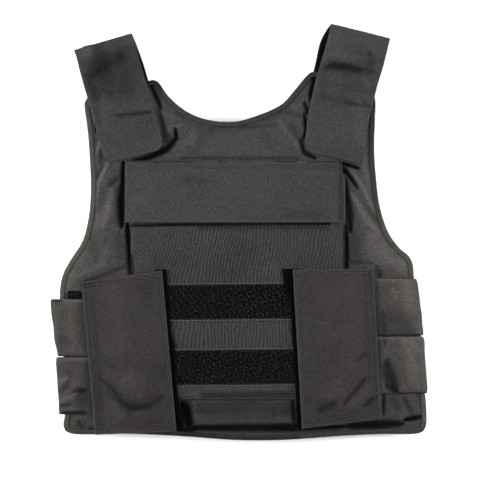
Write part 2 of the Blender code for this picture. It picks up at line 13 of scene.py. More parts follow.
import bpy
import numpy as np
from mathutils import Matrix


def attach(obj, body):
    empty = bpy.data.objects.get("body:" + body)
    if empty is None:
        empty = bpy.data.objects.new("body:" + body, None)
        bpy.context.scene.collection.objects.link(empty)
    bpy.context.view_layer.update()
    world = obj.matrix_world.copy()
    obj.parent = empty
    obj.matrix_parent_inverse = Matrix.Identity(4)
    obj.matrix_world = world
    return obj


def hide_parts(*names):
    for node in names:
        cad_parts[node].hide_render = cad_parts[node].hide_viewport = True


# The part's own values, in metres: the outline of the front panel and the heights that pieces lie at.
PANEL_THICK, RIM_THICK, BINDING_WALL = 0.0100, 0.0026, 0.0010
STRAP_THICK, BAND_THICK, FLAP_THICK, COVER_THICK = 0.0026, 0.0020, 0.0030, 0.0024
TAPE_THICK, POCKET_WALL, GAP = 0.0018, 0.0016, 0.0004
RIM_WIDTH, PAD_WIDTH, SEAT_WIDTH = 0.0100, 0.0260, 0.0230
SIDE_Z, BOW, HALF_WIDTH, CREST_Y = 0.0135, 0.034, 0.268, -0.060
HEM_Y, HEM_SHARE, TAB_Y, TAB_SHARE = -0.295, 0.8, 0.225, 0.30
BACK_SCALE, BACK_CENTRE_Y, BACK_RIM_Z = 0.976, -0.04, 0.0046
HEM = [
    (-0.246, -0.283), (-0.2357, -0.2868), (-0.1627, -0.2858), (-0.0804, -0.2891), (0.0014, -0.2945),
    (0.072, -0.2938), (0.1427, -0.2891), (0.2016, -0.2867), (0.255, -0.2862), (0.2625, -0.2825),
]
RIGHT_SIDE = [
    (0.2625, -0.2825), (0.2658, -0.275), (0.266, -0.25), (0.2632, -0.22), (0.2582, -0.1448),
    (0.2518, -0.09), (0.2484, -0.0653), (0.247, -0.048), (0.242, -0.0359), (0.2275, -0.023),
    (0.2133, -0.0041), (0.2045, 0.017), (0.1985, 0.04), (0.1945, 0.072), (0.1917, 0.1122),
    (0.1927, 0.1555), (0.1935, 0.185), (0.1915, 0.1935),
]
TOP = [
    (-0.219, 0.1835), (-0.213, 0.1908), (-0.17, 0.2035), (-0.1296, 0.2131), (-0.1215, 0.2148),
    (-0.1145, 0.212), (-0.1003, 0.1926), (-0.0785, 0.173), (-0.0568, 0.162), (-0.0351, 0.1566),
    (-0.0133, 0.1553), (0.003, 0.157), (0.0231, 0.1633), (0.0449, 0.1718), (0.0623, 0.1818),
    (0.0795, 0.2012), (0.0949, 0.2197), (0.1015, 0.2255), (0.1095, 0.2265), (0.15, 0.213),
    (0.186, 0.199), (0.1915, 0.1935),
]
LEFT_SIDE = [
    (-0.246, -0.283), (-0.249, -0.2745), (-0.247, -0.26), (-0.2475, -0.2), (-0.252, -0.14),
    (-0.2542, -0.0937), (-0.253, -0.075), (-0.2485, -0.0582), (-0.2381, -0.0395), (-0.2217, -0.0136),
    (-0.2134, 0.017), (-0.2098, 0.056), (-0.2112, 0.1012), (-0.2144, 0.1426), (-0.219, 0.176),
    (-0.219, 0.1835),
]
POCKET_X, POCKET_Y = (-0.152, 0.15), (-0.237, 0.081)
POCKET_DEPTH, MOUTH_DEPTH, MOUTH_RUN = 0.0085, 0.0055, 0.080
COVER_X, COVER_Y, COVER_SEAM, COVER_RAMP = (-0.1605, 0.1455), (0.0128, 0.1), 0.006, 0.0100
TAPE_X, TAPE_HEIGHT, TAPE_RISE = (-0.148, 0.146), 0.0495, 0.010
TAPE_MIDDLES = {"upper": -0.0985, "lower": -0.1905}
SIDE_TAPES = {
    "left": {"edge": 0.0115, "inner": -0.165, "y": (-0.1335, -0.084)},
    "right": {"edge": 0.0115, "inner": 0.165, "y": (-0.125, -0.0755)},
}
FLAP_CORNERS = {
    "left": [(-0.2228, -0.0713), (-0.1075, -0.0548), (-0.0875, -0.2809), (-0.2028, -0.2868)],
    "right": [(0.1897, -0.052), (0.0755, -0.0535), (0.0886, -0.2773), (0.2016, -0.264)],
}
FLAP_RAMP = {"left": (0.154, 0.193), "right": (0.152, 0.188)}
FLAP_SAG, FLAP_SAG_Y = 0.0035, (-0.24, -0.285)
BANDS = [
    {"name": "left_upper", "side": -1, "top": -0.096, "bottom": -0.1765, "off": (0.0075, 0.013)},
    {"name": "left_lower", "side": -1, "top": -0.1785, "bottom": -0.259, "off": (0.008, 0.0105)},
    {"name": "right_upper", "side": 1, "top": -0.067, "bottom": -0.147, "off": (0.0031, 0.0032)},
    {"name": "right_lower", "side": 1, "top": -0.149, "bottom": -0.229, "off": (0.0031, 0.0032)},
]
BAND_LIFT = TAPE_THICK + GAP
BAND_TUCK = BAND_UNDER_FLAP = 0.0100
BAND_TURN = 0.0045
STRAP_WIDTH = 0.086
# Columns x, y, z, turn in degrees, and 1 where the strap lies on the front panel.
STRAPS = {
    "left": [
        (-0.166, 0.188, 0.0015, 15, 0), (-0.1775, 0.228, 0.0015, 16, 0),
        (-0.1885, 0.258, 0.003, 16.3, 0), (-0.193, 0.269, 0.009, 16.3, 0),
        (-0.1895, 0.26, 0.016, 16.3, 0), (-0.183, 0.235, 0.024, 16.3, 0),
        (-0.173, 0.201, 0.03, 16, 1), (-0.16, 0.155, 0.04, 15.5, 1),
        (-0.1465, 0.1065, 0.04, 13.5, 1),
    ],
    "right": [
        (0.143, 0.1985, 0.0015, -19, 0), (0.15, 0.228, 0.0018, -18.5, 0),
        (0.1565, 0.256, 0.006, -17.5, 0), (0.1665, 0.276, 0.015, -15, 0),
        (0.1722, 0.283, 0.027, -14, 0), (0.1695, 0.272, 0.039, -14, 0),
        (0.1625, 0.245, 0.043, -14.5, 0), (0.1555, 0.222, 0.041, -15, 0),
        (0.148, 0.193, 0.04, -14, 1), (0.1399, 0.157, 0.04, -12.5, 1),
        (0.1345, 0.1045, 0.04, -11.5, 1),
    ],
}
BINDING_TOP = RIM_THICK + GAP + BINDING_WALL

# Unevenness: its height, its wave length in metres and its seed. The puff's height is a share, and the
# wrinkle's is how far a wrinkle sways.
UNEVEN = {
    "puff_edge": (0.0030, 0.022, 5), "puff": (0.18, 0.030, 8), "pucker": (0.0007, 0.013, 3),
    "front": (0.0006, 0.060, 11), "front_fine": (0.00015, 0.024, 12), "lining": (0.0005, 0.050, 21),
    "back": (0.0005, 0.055, 31), "binding": (0.00012, 0.008, 41), "wrinkle": (0.0035, 0.030, 51),
    "pocket": (0.0005, 0.040, 52), "cover": (0.0004, 0.030, 61), "flap": (0.0007, 0.045, 91),
    "flap_fine": (0.0002, 0.016, 93), "band": (0.0007, 0.026, 100), "band_side": (0.0004, 0.030, 110),
    "strap": (0.0007, 0.045, 120),
}
WAVES = 16
# A fold's share of its half width at its ends and what its middle adds, and the tone below which a painted
# shade has firm edges.
FOLD_TIP, FOLD_MIDDLE, FIRM_BELOW = 0.30, 0.75, -0.55
# The darkest painted shade and palest painted highlight that heights give, and how much slower a ridge's
# highlight grows than a valley's shade.
DARKEST, PALEST, PALE_SLOWNESS = -0.94, 0.50, 2.2
TONE_RANGE, WEAR_REACH = (-0.96, 5.0), 0.004
# The depth of a fold at which its painted shade is black: in plain cloth, and in single pieces.
FOLD_DEEP, POCKET_DEEP, COVER_DEEP, BAND_DEEP, STRAP_DEEP = 0.0040, 0.0080, 0.0030, 0.0060, 0.0060
# Grid lines near an edge, in half thicknesses, and how far apart the rest are, across and along.
RIM_STEPS = np.array([0.0, 0.12, 0.4, 0.9, 1.8, 3.2])
GRID_STEPS = {
    "cover": (0.0024, 0.0020), "flap": (0.0020, 0.0022), "hook": (0.0018, 0.0040),
    "band": (0.0022, 0.0024), "strap": (0.0022, 0.0022), "tape": (0.0040, 0.0040),
}
# Places along a stitch from its middle, as shares of its length, and its thickness there as a share.
STITCH_PLACES = np.array([-0.5, -0.42, -0.2, 0.2, 0.42, 0.5])
STITCH_GIRTH = np.array([0.02, 0.7, 1.0, 1.0, 0.7, 0.02])
# Its sides, how deep its middle and, beyond that, its ends are sunk, in threads, and a row's steps.
STITCH_SIDES, STITCH_SINK, STITCH_DIP, ROW_STEP = 6, 0.35, 1.3, 0.002


def smoothstep(t):
    """0 up to 0, 1 from 1 on, and between them 3 t squared less 2 t cubed."""
    t = np.clip(t, 0.0, 1.0)
    return t * t * (3.0 - 2.0 * t)


def rise(value, start, run):
    """0 up to the start, and smoothly up to 1 over the run."""
    return smoothstep((value - start) / run)


def unit(vectors):
    """Vectors over their own lengths."""
    return vectors / np.maximum(np.linalg.norm(vectors, axis=-1), 1e-12)[..., None]


def reach_along(path):
    """Distances of a path's points along it."""
    return np.concatenate([[0.0], np.cumsum(np.linalg.norm(np.diff(path, axis=0), axis=1))])


def with_upright(path):
    """A path, with a normal straight up at each of its points."""
    return path, np.tile([0.0, 0.0, 1.0], (len(path), 1))


def smooth_line(points, steps=30):
    """A cubic through the rows of points, tangents weighted by the square roots of the spans."""
    p = np.array(points, float)
    spans = np.diff(p, axis=0)
    h = np.sqrt(np.linalg.norm(spans[:, :3], axis=1))[:, None]
    slope = spans / h
    inner = (slope[:-1] * h[1:] + slope[1:] * h[:-1]) / (h[:-1] + h[1:])
    tangent = np.vstack([slope[:1], inner, slope[-1:]])
    t = np.linspace(0.0, 1.0, steps, endpoint=False)[:, None]
    pieces = [
        (2 * t**3 - 3 * t**2 + 1) * p[i] + (t**3 - 2 * t**2 + t) * h[i] * tangent[i]
        + (3 * t**2 - 2 * t**3) * p[i + 1] + (t**3 - t**2) * h[i] * tangent[i + 1]
        for i in range(len(spans))
    ]
    return np.vstack([*pieces, p[-1:]])


def distance_to(line, x, y, slab=2000):
    """Distance from each point to the nearest point of a fine line, a slab of points at a time."""
    spots = np.stack([np.ravel(x), np.ravel(y)], axis=-1)
    slabs = np.array_split(spots, max(1, len(spots) // slab))
    near = [np.sqrt(((part[:, None] - line) ** 2).sum(axis=-1).min(axis=-1)) for part in slabs]
    return np.concatenate(near).reshape(np.shape(x))


def inset_sides(sides, inset):
    """The four sides of an outline moved inwards, meeting halfway between their ends. Points that have
    come closer than that to another side are left out."""
    outline = np.vstack(sides)
    moved = []
    for side, inward in zip(sides, (1.0, 1.0, -1.0, -1.0)):
        tangent = np.gradient(side, axis=0)
        line = side + inset * inward * unit(np.column_stack([-tangent[:, 1], tangent[:, 0]]))
        moved.append(line[distance_to(outline, line[:, 0], line[:, 1]) > 0.98 * inset])
    hem, right, top, left = moved
    low_left, low_right = (hem[0] + left[0]) / 2, (hem[-1] + right[0]) / 2
    high_left, high_right = (top[0] + left[-1]) / 2, (top[-1] + right[-1]) / 2
    return [
        np.vstack([start, line[1:-1], end]) for line, start, end in (
            (hem, low_left, low_right), (right, low_right, high_right),
            (top, high_left, high_right), (left, low_left, high_left))
    ]


def crowded_shares(cells, crowding):
    """Places from 0 to 1 of the lines between the cells, closer together towards both ends."""
    t = np.linspace(0.0, 1.0, cells + 1)
    return t - crowding * np.sin(2.0 * np.pi * t) / (2.0 * np.pi)


def points_along(line, shares, axis):
    """Points of a line at shares of its reach in x or y, read between its own points."""
    reach = np.maximum.accumulate(line[:, axis])
    at = reach[0] + shares * (reach[-1] - reach[0])
    return np.column_stack([np.interp(at, reach, line[:, k]) for k in (0, 1)])


def ring_points(sides, across, along):
    """A grid's border: hem, right side, top and left side cut at the columns and rows."""
    cuts = ((across, 0), (along, 1), (across, 0), (along, 1))
    return [points_along(side, *cut) for side, cut in zip(sides, cuts)]


def coons_patch(sides, across, along):
    """Points over a four-sided outline, blended from its opposite sides."""
    hem, right, top, left = ring_points(sides, across, along)
    u, v = across[:, None, None], along[None, :, None]
    ends = (1 - v) * hem[:, None] + v * top[:, None]
    flanks = (1 - u) * left[None] + u * right[None]
    corners = (1 - u) * ((1 - v) * hem[0] + v * top[0]) + u * ((1 - v) * hem[-1] + v * top[-1])
    return ends + flanks - corners


def framed_patch(outline, across, along, insets):
    """A patch inside the last inset of the outline, with a ring of cells between the earlier ones."""
    sides = inset_sides(outline, insets[0])
    if len(insets) == 1:
        return coons_patch(sides, across, along)
    grid = np.empty((len(across), len(along), 2))
    grid[:, 0], grid[-1], grid[:, -1], grid[0] = ring_points(sides, across, along)
    inner = [(s[1:-1] - s[1]) / (s[-2] - s[1]) for s in (across, along)]
    grid[1:-1, 1:-1] = framed_patch(outline, *inner, insets[1:])
    return grid


FRONT_OUTLINE = [smooth_line(side) for side in (HEM, RIGHT_SIDE, TOP, LEFT_SIDE)]
BACK_OUTLINE = [(side - (0.0, BACK_CENTRE_Y)) * BACK_SCALE + (0.0, BACK_CENTRE_Y) for side in FRONT_OUTLINE]


def lining_z(x, y):
    """Height of the front panel's lining: a bow across, less of it towards the hem and the tabs."""
    across = np.clip(1.0 - (x / HALF_WIDTH) ** 2, 0.0, None)
    rise_y = y - CREST_Y
    to_hem = 1.0 - (1.0 - HEM_SHARE) * (rise_y / (HEM_Y - CREST_Y)) ** 2
    to_tab = 1.0 - (1.0 - TAB_SHARE) * (rise_y / (TAB_Y - CREST_Y)) ** 2
    return SIDE_Z + BOW * across * np.where(rise_y < 0.0, to_hem, to_tab)


def panel_face(x, y):
    """The front panel's outer face where its padding is full."""
    return lining_z(x, y) + PANEL_THICK


def front_seat(x, y):
    """Height at which a piece lies on the front panel: over the binding, then up the padding's shoulder."""
    inside = distance_to(np.vstack(FRONT_OUTLINE)[::3], x, y)
    climb = np.clip((inside - RIM_WIDTH) / (SEAT_WIDTH - RIM_WIDTH), 0.0, 1.0)
    return lining_z(x, y) + GAP + BINDING_TOP + (PANEL_THICK - BINDING_TOP) * climb


def pocket_face(x, y):
    """The pocket's outer face: over the panel's, deeper from its mouth down."""
    deepening = smoothstep((POCKET_Y[1] - y) / MOUTH_RUN)
    return panel_face(x, y) + MOUTH_DEPTH + (POCKET_DEPTH - MOUTH_DEPTH) * deepening + POCKET_WALL


def tape_face(x, y):
    """The outer face of the chest's loop tapes."""
    return pocket_face(x, y) + GAP + TAPE_THICK


def side_x(sides, side, y):
    """Where a panel's left or right side stands at each y."""
    line = sides[1] if side > 0 else sides[3]
    return np.interp(y, line[:, 1], line[:, 0])


def relief(x, y, folds, narrow=True, firm=2):
    """Folds in metres, or tones of painted shade and highlight: each is a rounded ridge or valley, its
    height on its line times e to the minus power of the distance over the half width, squared, or for a dark
    painted shade to the power of firm. Rows that go on where the last one ended are one fold: its width runs
    from row to row, and where asked it narrows towards both ends. Where some meet, the highest ridge and the
    deepest valley count."""
    rows = np.array(folds, float).reshape(-1, 6) / 1000.0
    length = np.hypot(rows[:, 2] - rows[:, 0], rows[:, 3] - rows[:, 1])
    goes_on = np.concatenate([[False], (rows[1:, :2] == rows[:-1, 2:4]).all(axis=1)])
    fold_of = np.cumsum(~goes_on)
    wider = np.where(np.append(goes_on[1:], False), np.roll(rows[:, 4], -1) - rows[:, 4], 0.0)
    ridge, valley = np.zeros_like(x), np.zeros_like(x)
    for k, (x0, y0, x1, y1, width, height) in enumerate(rows):
        same = fold_of == fold_of[k]
        near = ((x - x0) * (x1 - x0) + (y - y0) * (y1 - y0)) / max(length[k] ** 2, 1e-9)
        near = np.clip(near, 0.0, 1.0)
        away = np.hypot(x - x0 - near * (x1 - x0), y - y0 - near * (y1 - y0))
        share = (length[:k][same[:k]].sum() + near * length[k]) / max(length[same].sum(), 1e-9)
        half = width + wider[k] * near
        if narrow:
            half = half * (FOLD_TIP + FOLD_MIDDLE * np.sqrt(np.sin(np.pi * np.clip(share, 0.0, 1.0))))
        fold = height * np.exp(-((away / half) ** (firm if height < FIRM_BELOW else 2)))
        ridge, valley = np.maximum(ridge, fold), np.minimum(valley, fold)
    return ridge + valley


def crumple(x, y, wave, seed):
    """A smooth uneven field of about -1 to 1: sixteen sine waves of seeded directions, round the given
    wave length in metres."""
    rng = np.random.default_rng(seed)
    total = np.zeros_like(x)
    for _ in range(WAVES):
        angle, length = rng.uniform(0, np.pi), wave * rng.uniform(0.6, 1.7)
        phase = rng.uniform(0, 2 * np.pi)
        total += np.sin(2 * np.pi * (x * np.cos(angle) + y * np.sin(angle)) / length + phase)
    return total / math.sqrt(WAVES)


def uneven(kind, x, y, more_seed=0):
    """A kind's height times its uneven field."""
    height, wave, seed = UNEVEN[kind]
    return height * crumple(x, y, wave, seed + more_seed)


def edge_lines(length, step, half):
    """Distances of grid lines across a piece: close together at both edges, for its rounded rim."""
    near = RIM_STEPS * half
    cells = max(2, int(round((length - 2 * near[-1]) / step)))
    inner = np.linspace(near[-1], length - near[-1], cells + 1)
    return np.concatenate([near[:-1], inner, length - near[-2::-1]])


def grid_lines(kind, width, height, thick):
    """A piece's grid lines in both directions."""
    return (edge_lines(*pair, thick / 2) for pair in zip((width, height), GRID_STEPS[kind]))


def rim_distance(us, vs):
    """Distance of each grid point from the nearest edge."""
    return np.minimum(np.minimum(us, us[-1] - us)[:, None], np.minimum(vs, vs[-1] - vs))


def rim_round(distance, half):
    """A quarter circle's rise at the rim: 0 on the edge and 1 from half a thickness inwards."""
    return np.sqrt(np.clip(1.0 - (1.0 - np.clip(distance / half, 0.0, 1.0)) ** 2, 0.0, 1.0))


def grid_normals(points):
    """The cross product of a grid's steps in both directions, 1 long."""
    return unit(np.cross(np.gradient(points, axis=0), np.gradient(points, axis=1)))


def lengths_along(points):
    """Distances along both directions of a grid, as the cloth's own flat coordinates."""
    u, v = (np.cumsum(np.linalg.norm(np.diff(points, axis=k), axis=-1), axis=k) for k in (0, 1))
    return np.dstack([np.pad(u, ((1, 0), (0, 0))), np.pad(v, ((0, 0), (1, 0)))])


def painted_fold_shading(waves, deep=FOLD_DEEP):
    """Painted shade and highlight from folds' heights: the cloth's colour is painted black down in a
    valley, which little light reaches, and paler on a ridge, as if lit.
    """
    pale = np.minimum(waves / (PALE_SLOWNESS * deep), PALEST)
    return np.where(waves < 0.0, np.maximum(waves / deep, DARKEST), pale)


def add_mesh(name, points, quads, material, uv=None, wear=None, fold=None):
    """A smooth mesh object at the origin from arrays, with a UV map in metres, the wear attribute, and the
    fold attribute, a tone that multiplies the colour: painted shade and highlight on the cloth, and the
    clumps' tone on pile. Its faces are turned outwards: the volume that they close is positive."""
    at = points[quads]
    volume = sum((at[:, 0] * np.cross(at[:, k], at[:, k + 1])).sum() for k in range(1, quads.shape[1] - 1))
    if volume < 0:
        quads = quads[:, ::-1]
    mesh = bpy.data.meshes.new(name)
    mesh.vertices.add(len(points))
    mesh.vertices.foreach_set("co", np.ascontiguousarray(points, np.float32).ravel())
    mesh.loops.add(quads.size)
    mesh.loops.foreach_set("vertex_index", quads.astype(np.int32).ravel())
    mesh.polygons.add(len(quads))
    starts = np.arange(0, quads.size, quads.shape[1], dtype=np.int32)
    mesh.polygons.foreach_set("loop_start", starts)
    mesh.update(calc_edges=True)
    mesh.validate()
    mesh.shade_smooth()
    if uv is not None:
        layer = mesh.uv_layers.new(name="cloth")
        layer.data.foreach_set("uv", uv[quads.ravel()].astype(np.float32).ravel())
    for label, values in (("wear", wear), ("fold", fold)):
        if values is not None:
            values = np.clip(values, *TONE_RANGE).astype(np.float32)
            mesh.attributes.new(label, "FLOAT", "POINT").data.foreach_set("value", values)
    mesh.materials.append(material)
    obj = bpy.data.objects.new(name, mesh)
    bpy.context.scene.collection.objects.link(obj)
    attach(obj, "root")
    return obj


def closed_sheet(name, high, low, distance, material, uv=None, fold=0.0):
    """A closed body between two grids that meet halfway along their border. Wear fades 4 mm from it."""
    rows, columns = high.shape[:2]
    upper = np.arange(rows * columns).reshape(rows, columns)
    inside = np.zeros((rows, columns), bool)
    inside[1:-1, 1:-1] = True
    lower = upper.copy()
    lower[inside] = rows * columns + np.arange(inside.sum())
    high = np.where(inside[..., None], high, (high + low) / 2)
    quads = np.vstack([
        np.stack([g[:-1, :-1], g[1:, :-1], g[1:, 1:], g[:-1, 1:]], axis=-1).reshape(-1, 4)[:, order]
        for g, order in ((upper, [0, 1, 2, 3]), (lower, [3, 2, 1, 0]))
    ])
    fields = high, lengths_along(high) if uv is None else uv, distance, np.broadcast_to(fold, distance.shape)
    points, uv, distance, fold = (
        np.concatenate([a.reshape(rows * columns, -1), b[inside].reshape(inside.sum(), -1)])
        for a, b in zip(fields, (low, *fields[1:]))
    )
    wear = np.clip(1.0 - distance[:, 0] / WEAR_REACH, 0.0, 1.0)
    return add_mesh(name, points, quads, material, uv, wear, fold[:, 0])


def cloth_piece(name, cloth, middle, us, vs, thick, node=None,
                raised=0.0, tone=0.0):
    """Cloth of a thickness about a middle grid, its rim rounded, its outer face raised by the relief,
    which the inner face follows, so that folds are folds and not swellings. It hides the CAD part of the
    node that it replaces."""
    normal, distance = grid_normals(middle), rim_distance(us, vs)
    half = (rim_round(distance, thick / 2) * thick / 2)[..., None]
    fold = np.asarray(raised)[..., None] * normal
    sides = middle + normal * half + fold, middle - normal * half + fold
    obj = closed_sheet(name, *sides, distance, CLOTHS[cloth], fold=tone)
    if node:
        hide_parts(node)


def rings_mesh(name, rings, material, uv, wear, tone):
    """A closed tube from rings of points, an array of places along it by points round it by 3."""
    index = np.arange(rings.shape[0] * rings.shape[1]).reshape(rings.shape[:2])
    along, turned = np.roll(index, -1, axis=0), np.roll(index, -1, axis=1)
    quads = np.stack([index, along, np.roll(along, -1, axis=1), turned], axis=-1).reshape(-1, 4)
    points, uv = rings.reshape(-1, 3), uv.reshape(-1, 2)
    return add_mesh(name, points, quads, material, uv, wear.ravel(), tone.ravel())


def painted_seam_shade(us, vs, lines, tone, half=1.3):
    """Painted shade in the gutters along straight seams, and painted shadow lines: how much they darken the
    cloth, over a piece's grid.
    """
    rows = [(*(1000 * value for value in (*a, *b)), half, tone * 1000) for a, b in lines]
    return relief(*np.meshgrid(us, vs, indexing="ij"), rows, False)


def tube_ring(out, up, angles):
    """Directions round a thread at each place along it, from two directions across it."""
    return out[:, :, None] * np.cos(angles)[:, None] + up[:, :, None] * np.sin(angles)[:, None]


def tube_quads(places, sides):
    """Faces between the rings of points along an open tube."""
    index = np.arange(places * sides).reshape(places, sides)
    turned = np.roll(index, -1, axis=1)
    return np.stack([index[:-1], turned[:-1], turned[1:], index[1:]], axis=-1).reshape(-1, 4)


def stitch_row(path, normal, length, space, thread):
    """Stitches along a path: points of a small bent capsule, six round and six along, for each. A
    stitch's ends dip into the cloth. Returns its points and its quads."""
    reach = reach_along(path)
    count = max(1, int(reach[-1] / (length + space)))
    middles = (np.arange(count) + 0.5) * reach[-1] / count
    at = middles[:, None] + STITCH_PLACES * length
    spots, up = (
        np.stack([np.interp(at, reach, line) for line in rows.T], axis=-1) for rows in (path, normal))
    out = unit(np.cross(unit(spots[:, -1:] - spots[:, :1]), up))
    lift = thread * (1.0 - STITCH_SINK - STITCH_DIP * (2 * np.abs(STITCH_PLACES)) ** 3)
    spots = spots + up * lift[None, :, None]
    ring = tube_ring(out, up, np.linspace(0.0, 2.0 * np.pi, STITCH_SIDES, endpoint=False))
    points = spots[:, :, None] + ring * (thread * STITCH_GIRTH)[None, :, None, None]
    ends = np.array([[0, 5, 4, 3], [0, 3, 2, 1]])
    size = len(STITCH_PLACES) * STITCH_SIDES
    last = size - STITCH_SIDES + np.array([[0, 1, 2, 3], [0, 3, 4, 5]])
    one = np.vstack([tube_quads(len(STITCH_PLACES), STITCH_SIDES), ends, last])
    quads = one[None] + (np.arange(count) * size)[:, None, None]
    return points.reshape(-1, 3), quads.reshape(-1, 4)


def add_stitches(name, rows, length=0.0026, space=0.0009, thread=0.00030, cloth="thread"):
    """All the stitches of a piece as one mesh. Each row is a path with its normals."""
    made = [stitch_row(path, normal, length, space, thread) for path, normal in rows]
    starts = np.cumsum([0] + [len(points) for points, _ in made[:-1]])
    points = np.vstack([points for points, _ in made])
    quads = np.vstack([quads + start for (_, quads), start in zip(made, starts)])
    obj = add_mesh(name, points, quads, CLOTHS[cloth], points[:, :2])


def surface_row(high, normal, us, vs, start, end):
    """A straight row on a piece's outer face between two places, in metres along u and v, and its
    normals: the grid is read at even steps between its lines."""
    t = np.linspace(0.0, 1.0, max(2, int(math.dist(start, end) / ROW_STEP)))
    at_u, at_v = start[0] + (end[0] - start[0]) * t, start[1] + (end[1] - start[1]) * t
    i = np.clip(np.searchsorted(us, at_u) - 1, 0, len(us) - 2)
    j = np.clip(np.searchsorted(vs, at_v) - 1, 0, len(vs) - 2)
    a = ((at_u - us[i]) / (us[i + 1] - us[i]))[:, None]
    b = ((at_v - vs[j]) / (vs[j + 1] - vs[j]))[:, None]
    return [
        (1 - b) * ((1 - a) * g[i, j] + a * g[i + 1, j]) + b * ((1 - a) * g[i, j + 1] + a * g[i + 1, j + 1])
        for g in (high, normal)
    ]


def sew(name, middle, us, vs, height, lines):
    """Stitches along straight lines on a piece's outer face, at a height over its middle."""
    normal = grid_normals(middle)
    high = middle + normal * height
    add_stitches(name, [surface_row(high, normal, us, vs, *line) for line in lines])


class Value:
    """What a shader node puts out. Adding, subtracting and multiplying make Math nodes of it."""

    def __init__(self, tree, socket):
        self.tree, self.socket = tree, socket

    def maths(self, operation, *others, clamp=False):
        inputs = dict(enumerate((self, *others)))
        return add_node(self.tree, "Math", inputs, operation=operation, use_clamp=clamp)

    def __add__(self, other):
        return self.maths("ADD", other)

    def __sub__(self, other):
        return self.maths("SUBTRACT", other)

    def __mul__(self, other):
        return self.maths("MULTIPLY", other)


def put(socket, value):
    """Links a socket to another node's value, or sets it."""
    if isinstance(value, Value):
        value.tree.links.new(value.socket, socket)
    else:
        socket.default_value = value


def add_node(tree, kind, inputs=None, out=0, **settings):
    """A shader node with its settings and inputs. Returns its output, or several where out is a tuple."""
    node = tree.nodes.new("ShaderNode" + kind)
    for label, value in settings.items():
        setattr(node, label, value)
    for label, value in (inputs or {}).items():
        put(node.inputs[label], value)
    if isinstance(out, tuple):
        return [Value(tree, node.outputs[key]) for key in out]
    return Value(tree, node.outputs[out])


def mix(factor, a, b):
    """From a towards b by the factor."""
    return add_node(factor.tree, "Mix", {0: factor, 2: a, 3: b}, data_type="FLOAT")


def noise(vector, scale, detail=3.0, roughness=0.5):
    """Noise from 0 to 1, so many bumps a metre."""
    inputs = {"Vector": vector, "Scale": scale, "Detail": detail, "Roughness": roughness}
    return add_node(vector.tree, "TexNoise", inputs)


def split(vector):
    """A vector's x, y and z."""
    return add_node(vector.tree, "SeparateXYZ", {0: vector}, (0, 1, 2))


def times(tree, vector, factors):
    """A vector times another, number by number."""
    return add_node(tree, "VectorMath", {0: vector, 1: factors}, operation="MULTIPLY")


def new_group(name, inputs, outputs):
    """An empty shader node group that takes a vector and named numbers and puts out numbers; returns its
    tree, its inputs as values and what its outputs are put into."""
    tree = bpy.data.node_groups.new(name, "ShaderNodeTree")
    tree.interface.new_socket(name="Vector", in_out="INPUT", socket_type="NodeSocketVector")
    for way, labels in (("INPUT", inputs), ("OUTPUT", outputs)):
        for label in labels:
            tree.interface.new_socket(name=label, in_out=way, socket_type="NodeSocketFloat")
    given = {socket.name: Value(tree, socket) for socket in tree.nodes.new("NodeGroupInput").outputs}
    return tree, given, tree.nodes.new("NodeGroupOutput").inputs


def use_group(name, vector, out, **values):
    """A group placed in a vector's tree with values of its own."""
    return add_node(vector.tree, "Group", {"Vector": vector, **values}, out, node_tree=GROUPS[name])


# Noise scales, per metre: along and across a thread, the sway of ribs, patches, rubbed places and lint.
THREAD_ALONG, THREAD_ACROSS, RIB_SWAY, PATCH_SCALE, RUB_SCALE = 60.0, 700.0, 22.0, 11.0, 160.0
LINT_SCALE, LINT_SIZE, LINT_PLACES, LINT_SHARE = 75.0, 0.030, 31.0, 0.66
# Where ribs that fan out meet, how soon along x they are straight again, and how sharply ribs end.
FAN_CENTRE_Y, FAN_FADE, RIB_END = 0.205, -26.0, 250.0
# A thread's shade at its edge and what its height adds, and the unevenness along it.
EDGE_SHADE, HEIGHT_SHADE, SLUB = 0.75, 0.3, 0.5
# How far speckle stands out, what it and a fold do to the roughness, and the distance of a whole bump.
SPECKLE_BUMP, SPECKLE_ROUGH, FOLD_ROUGH, BUMP_DISTANCE = 1.6, 0.2, -0.45, 0.00035
# Rubbed cloth and lint: the cloth's own colour times the first plus the second.
RUBBED_GAIN, RUBBED_PALE = 2.2, 0.010


def weave_group():
    """Plain weave: each thread is a half round across, and warp and weft lie on top by turns."""
    tree, given, end = new_group("plain_weave", ("Threads",), ("Height", "Shade"))
    turn = given["Threads"] * math.pi
    across, along = [(place * turn).maths("SINE") for place in split(given["Vector"])[:2]]
    warp_up = (across * along).maths("GREATER_THAN", 0.0)
    height = mix(warp_up, along.maths("ABSOLUTE"), across.maths("ABSOLUTE"))
    stretches = (THREAD_ACROSS, THREAD_ALONG, 1.0), (THREAD_ALONG, THREAD_ACROSS, 1.0)
    warp, weft = [noise(times(tree, given["Vector"], stretch), 1.0, 1.0) for stretch in stretches]
    slub = (mix(warp_up, weft, warp) - 0.5) * SLUB
    put(end["Height"], height + slub)
    put(end["Shade"], height * HEIGHT_SHADE + EDGE_SHADE + slub)
    return tree


def rib_group():
    """Ribs that run along the cloth and bend a little, as in a corded weave or a knitted elastic. Where
    asked they fan out near the cloth's left side, round its seam."""
    tree, given, end = new_group("corded_ribs", ("Ribs", "Bend", "Bend Length", "Fan"), ("Height",))
    x, y, _ = split(given["Vector"])
    sway = (y * given["Bend Length"]).maths("SINE")
    bend = (sway + noise(given["Vector"], RIB_SWAY, 1.0)) * given["Bend"]
    fan = (y - FAN_CENTRE_Y) * given["Fan"] * (x * FAN_FADE).maths("EXPONENT")
    wave = ((x - fan + bend) * (given["Ribs"] * (2 * math.pi))).maths("SINE")
    put(end["Height"], wave * 0.5 + 0.5)
    return tree


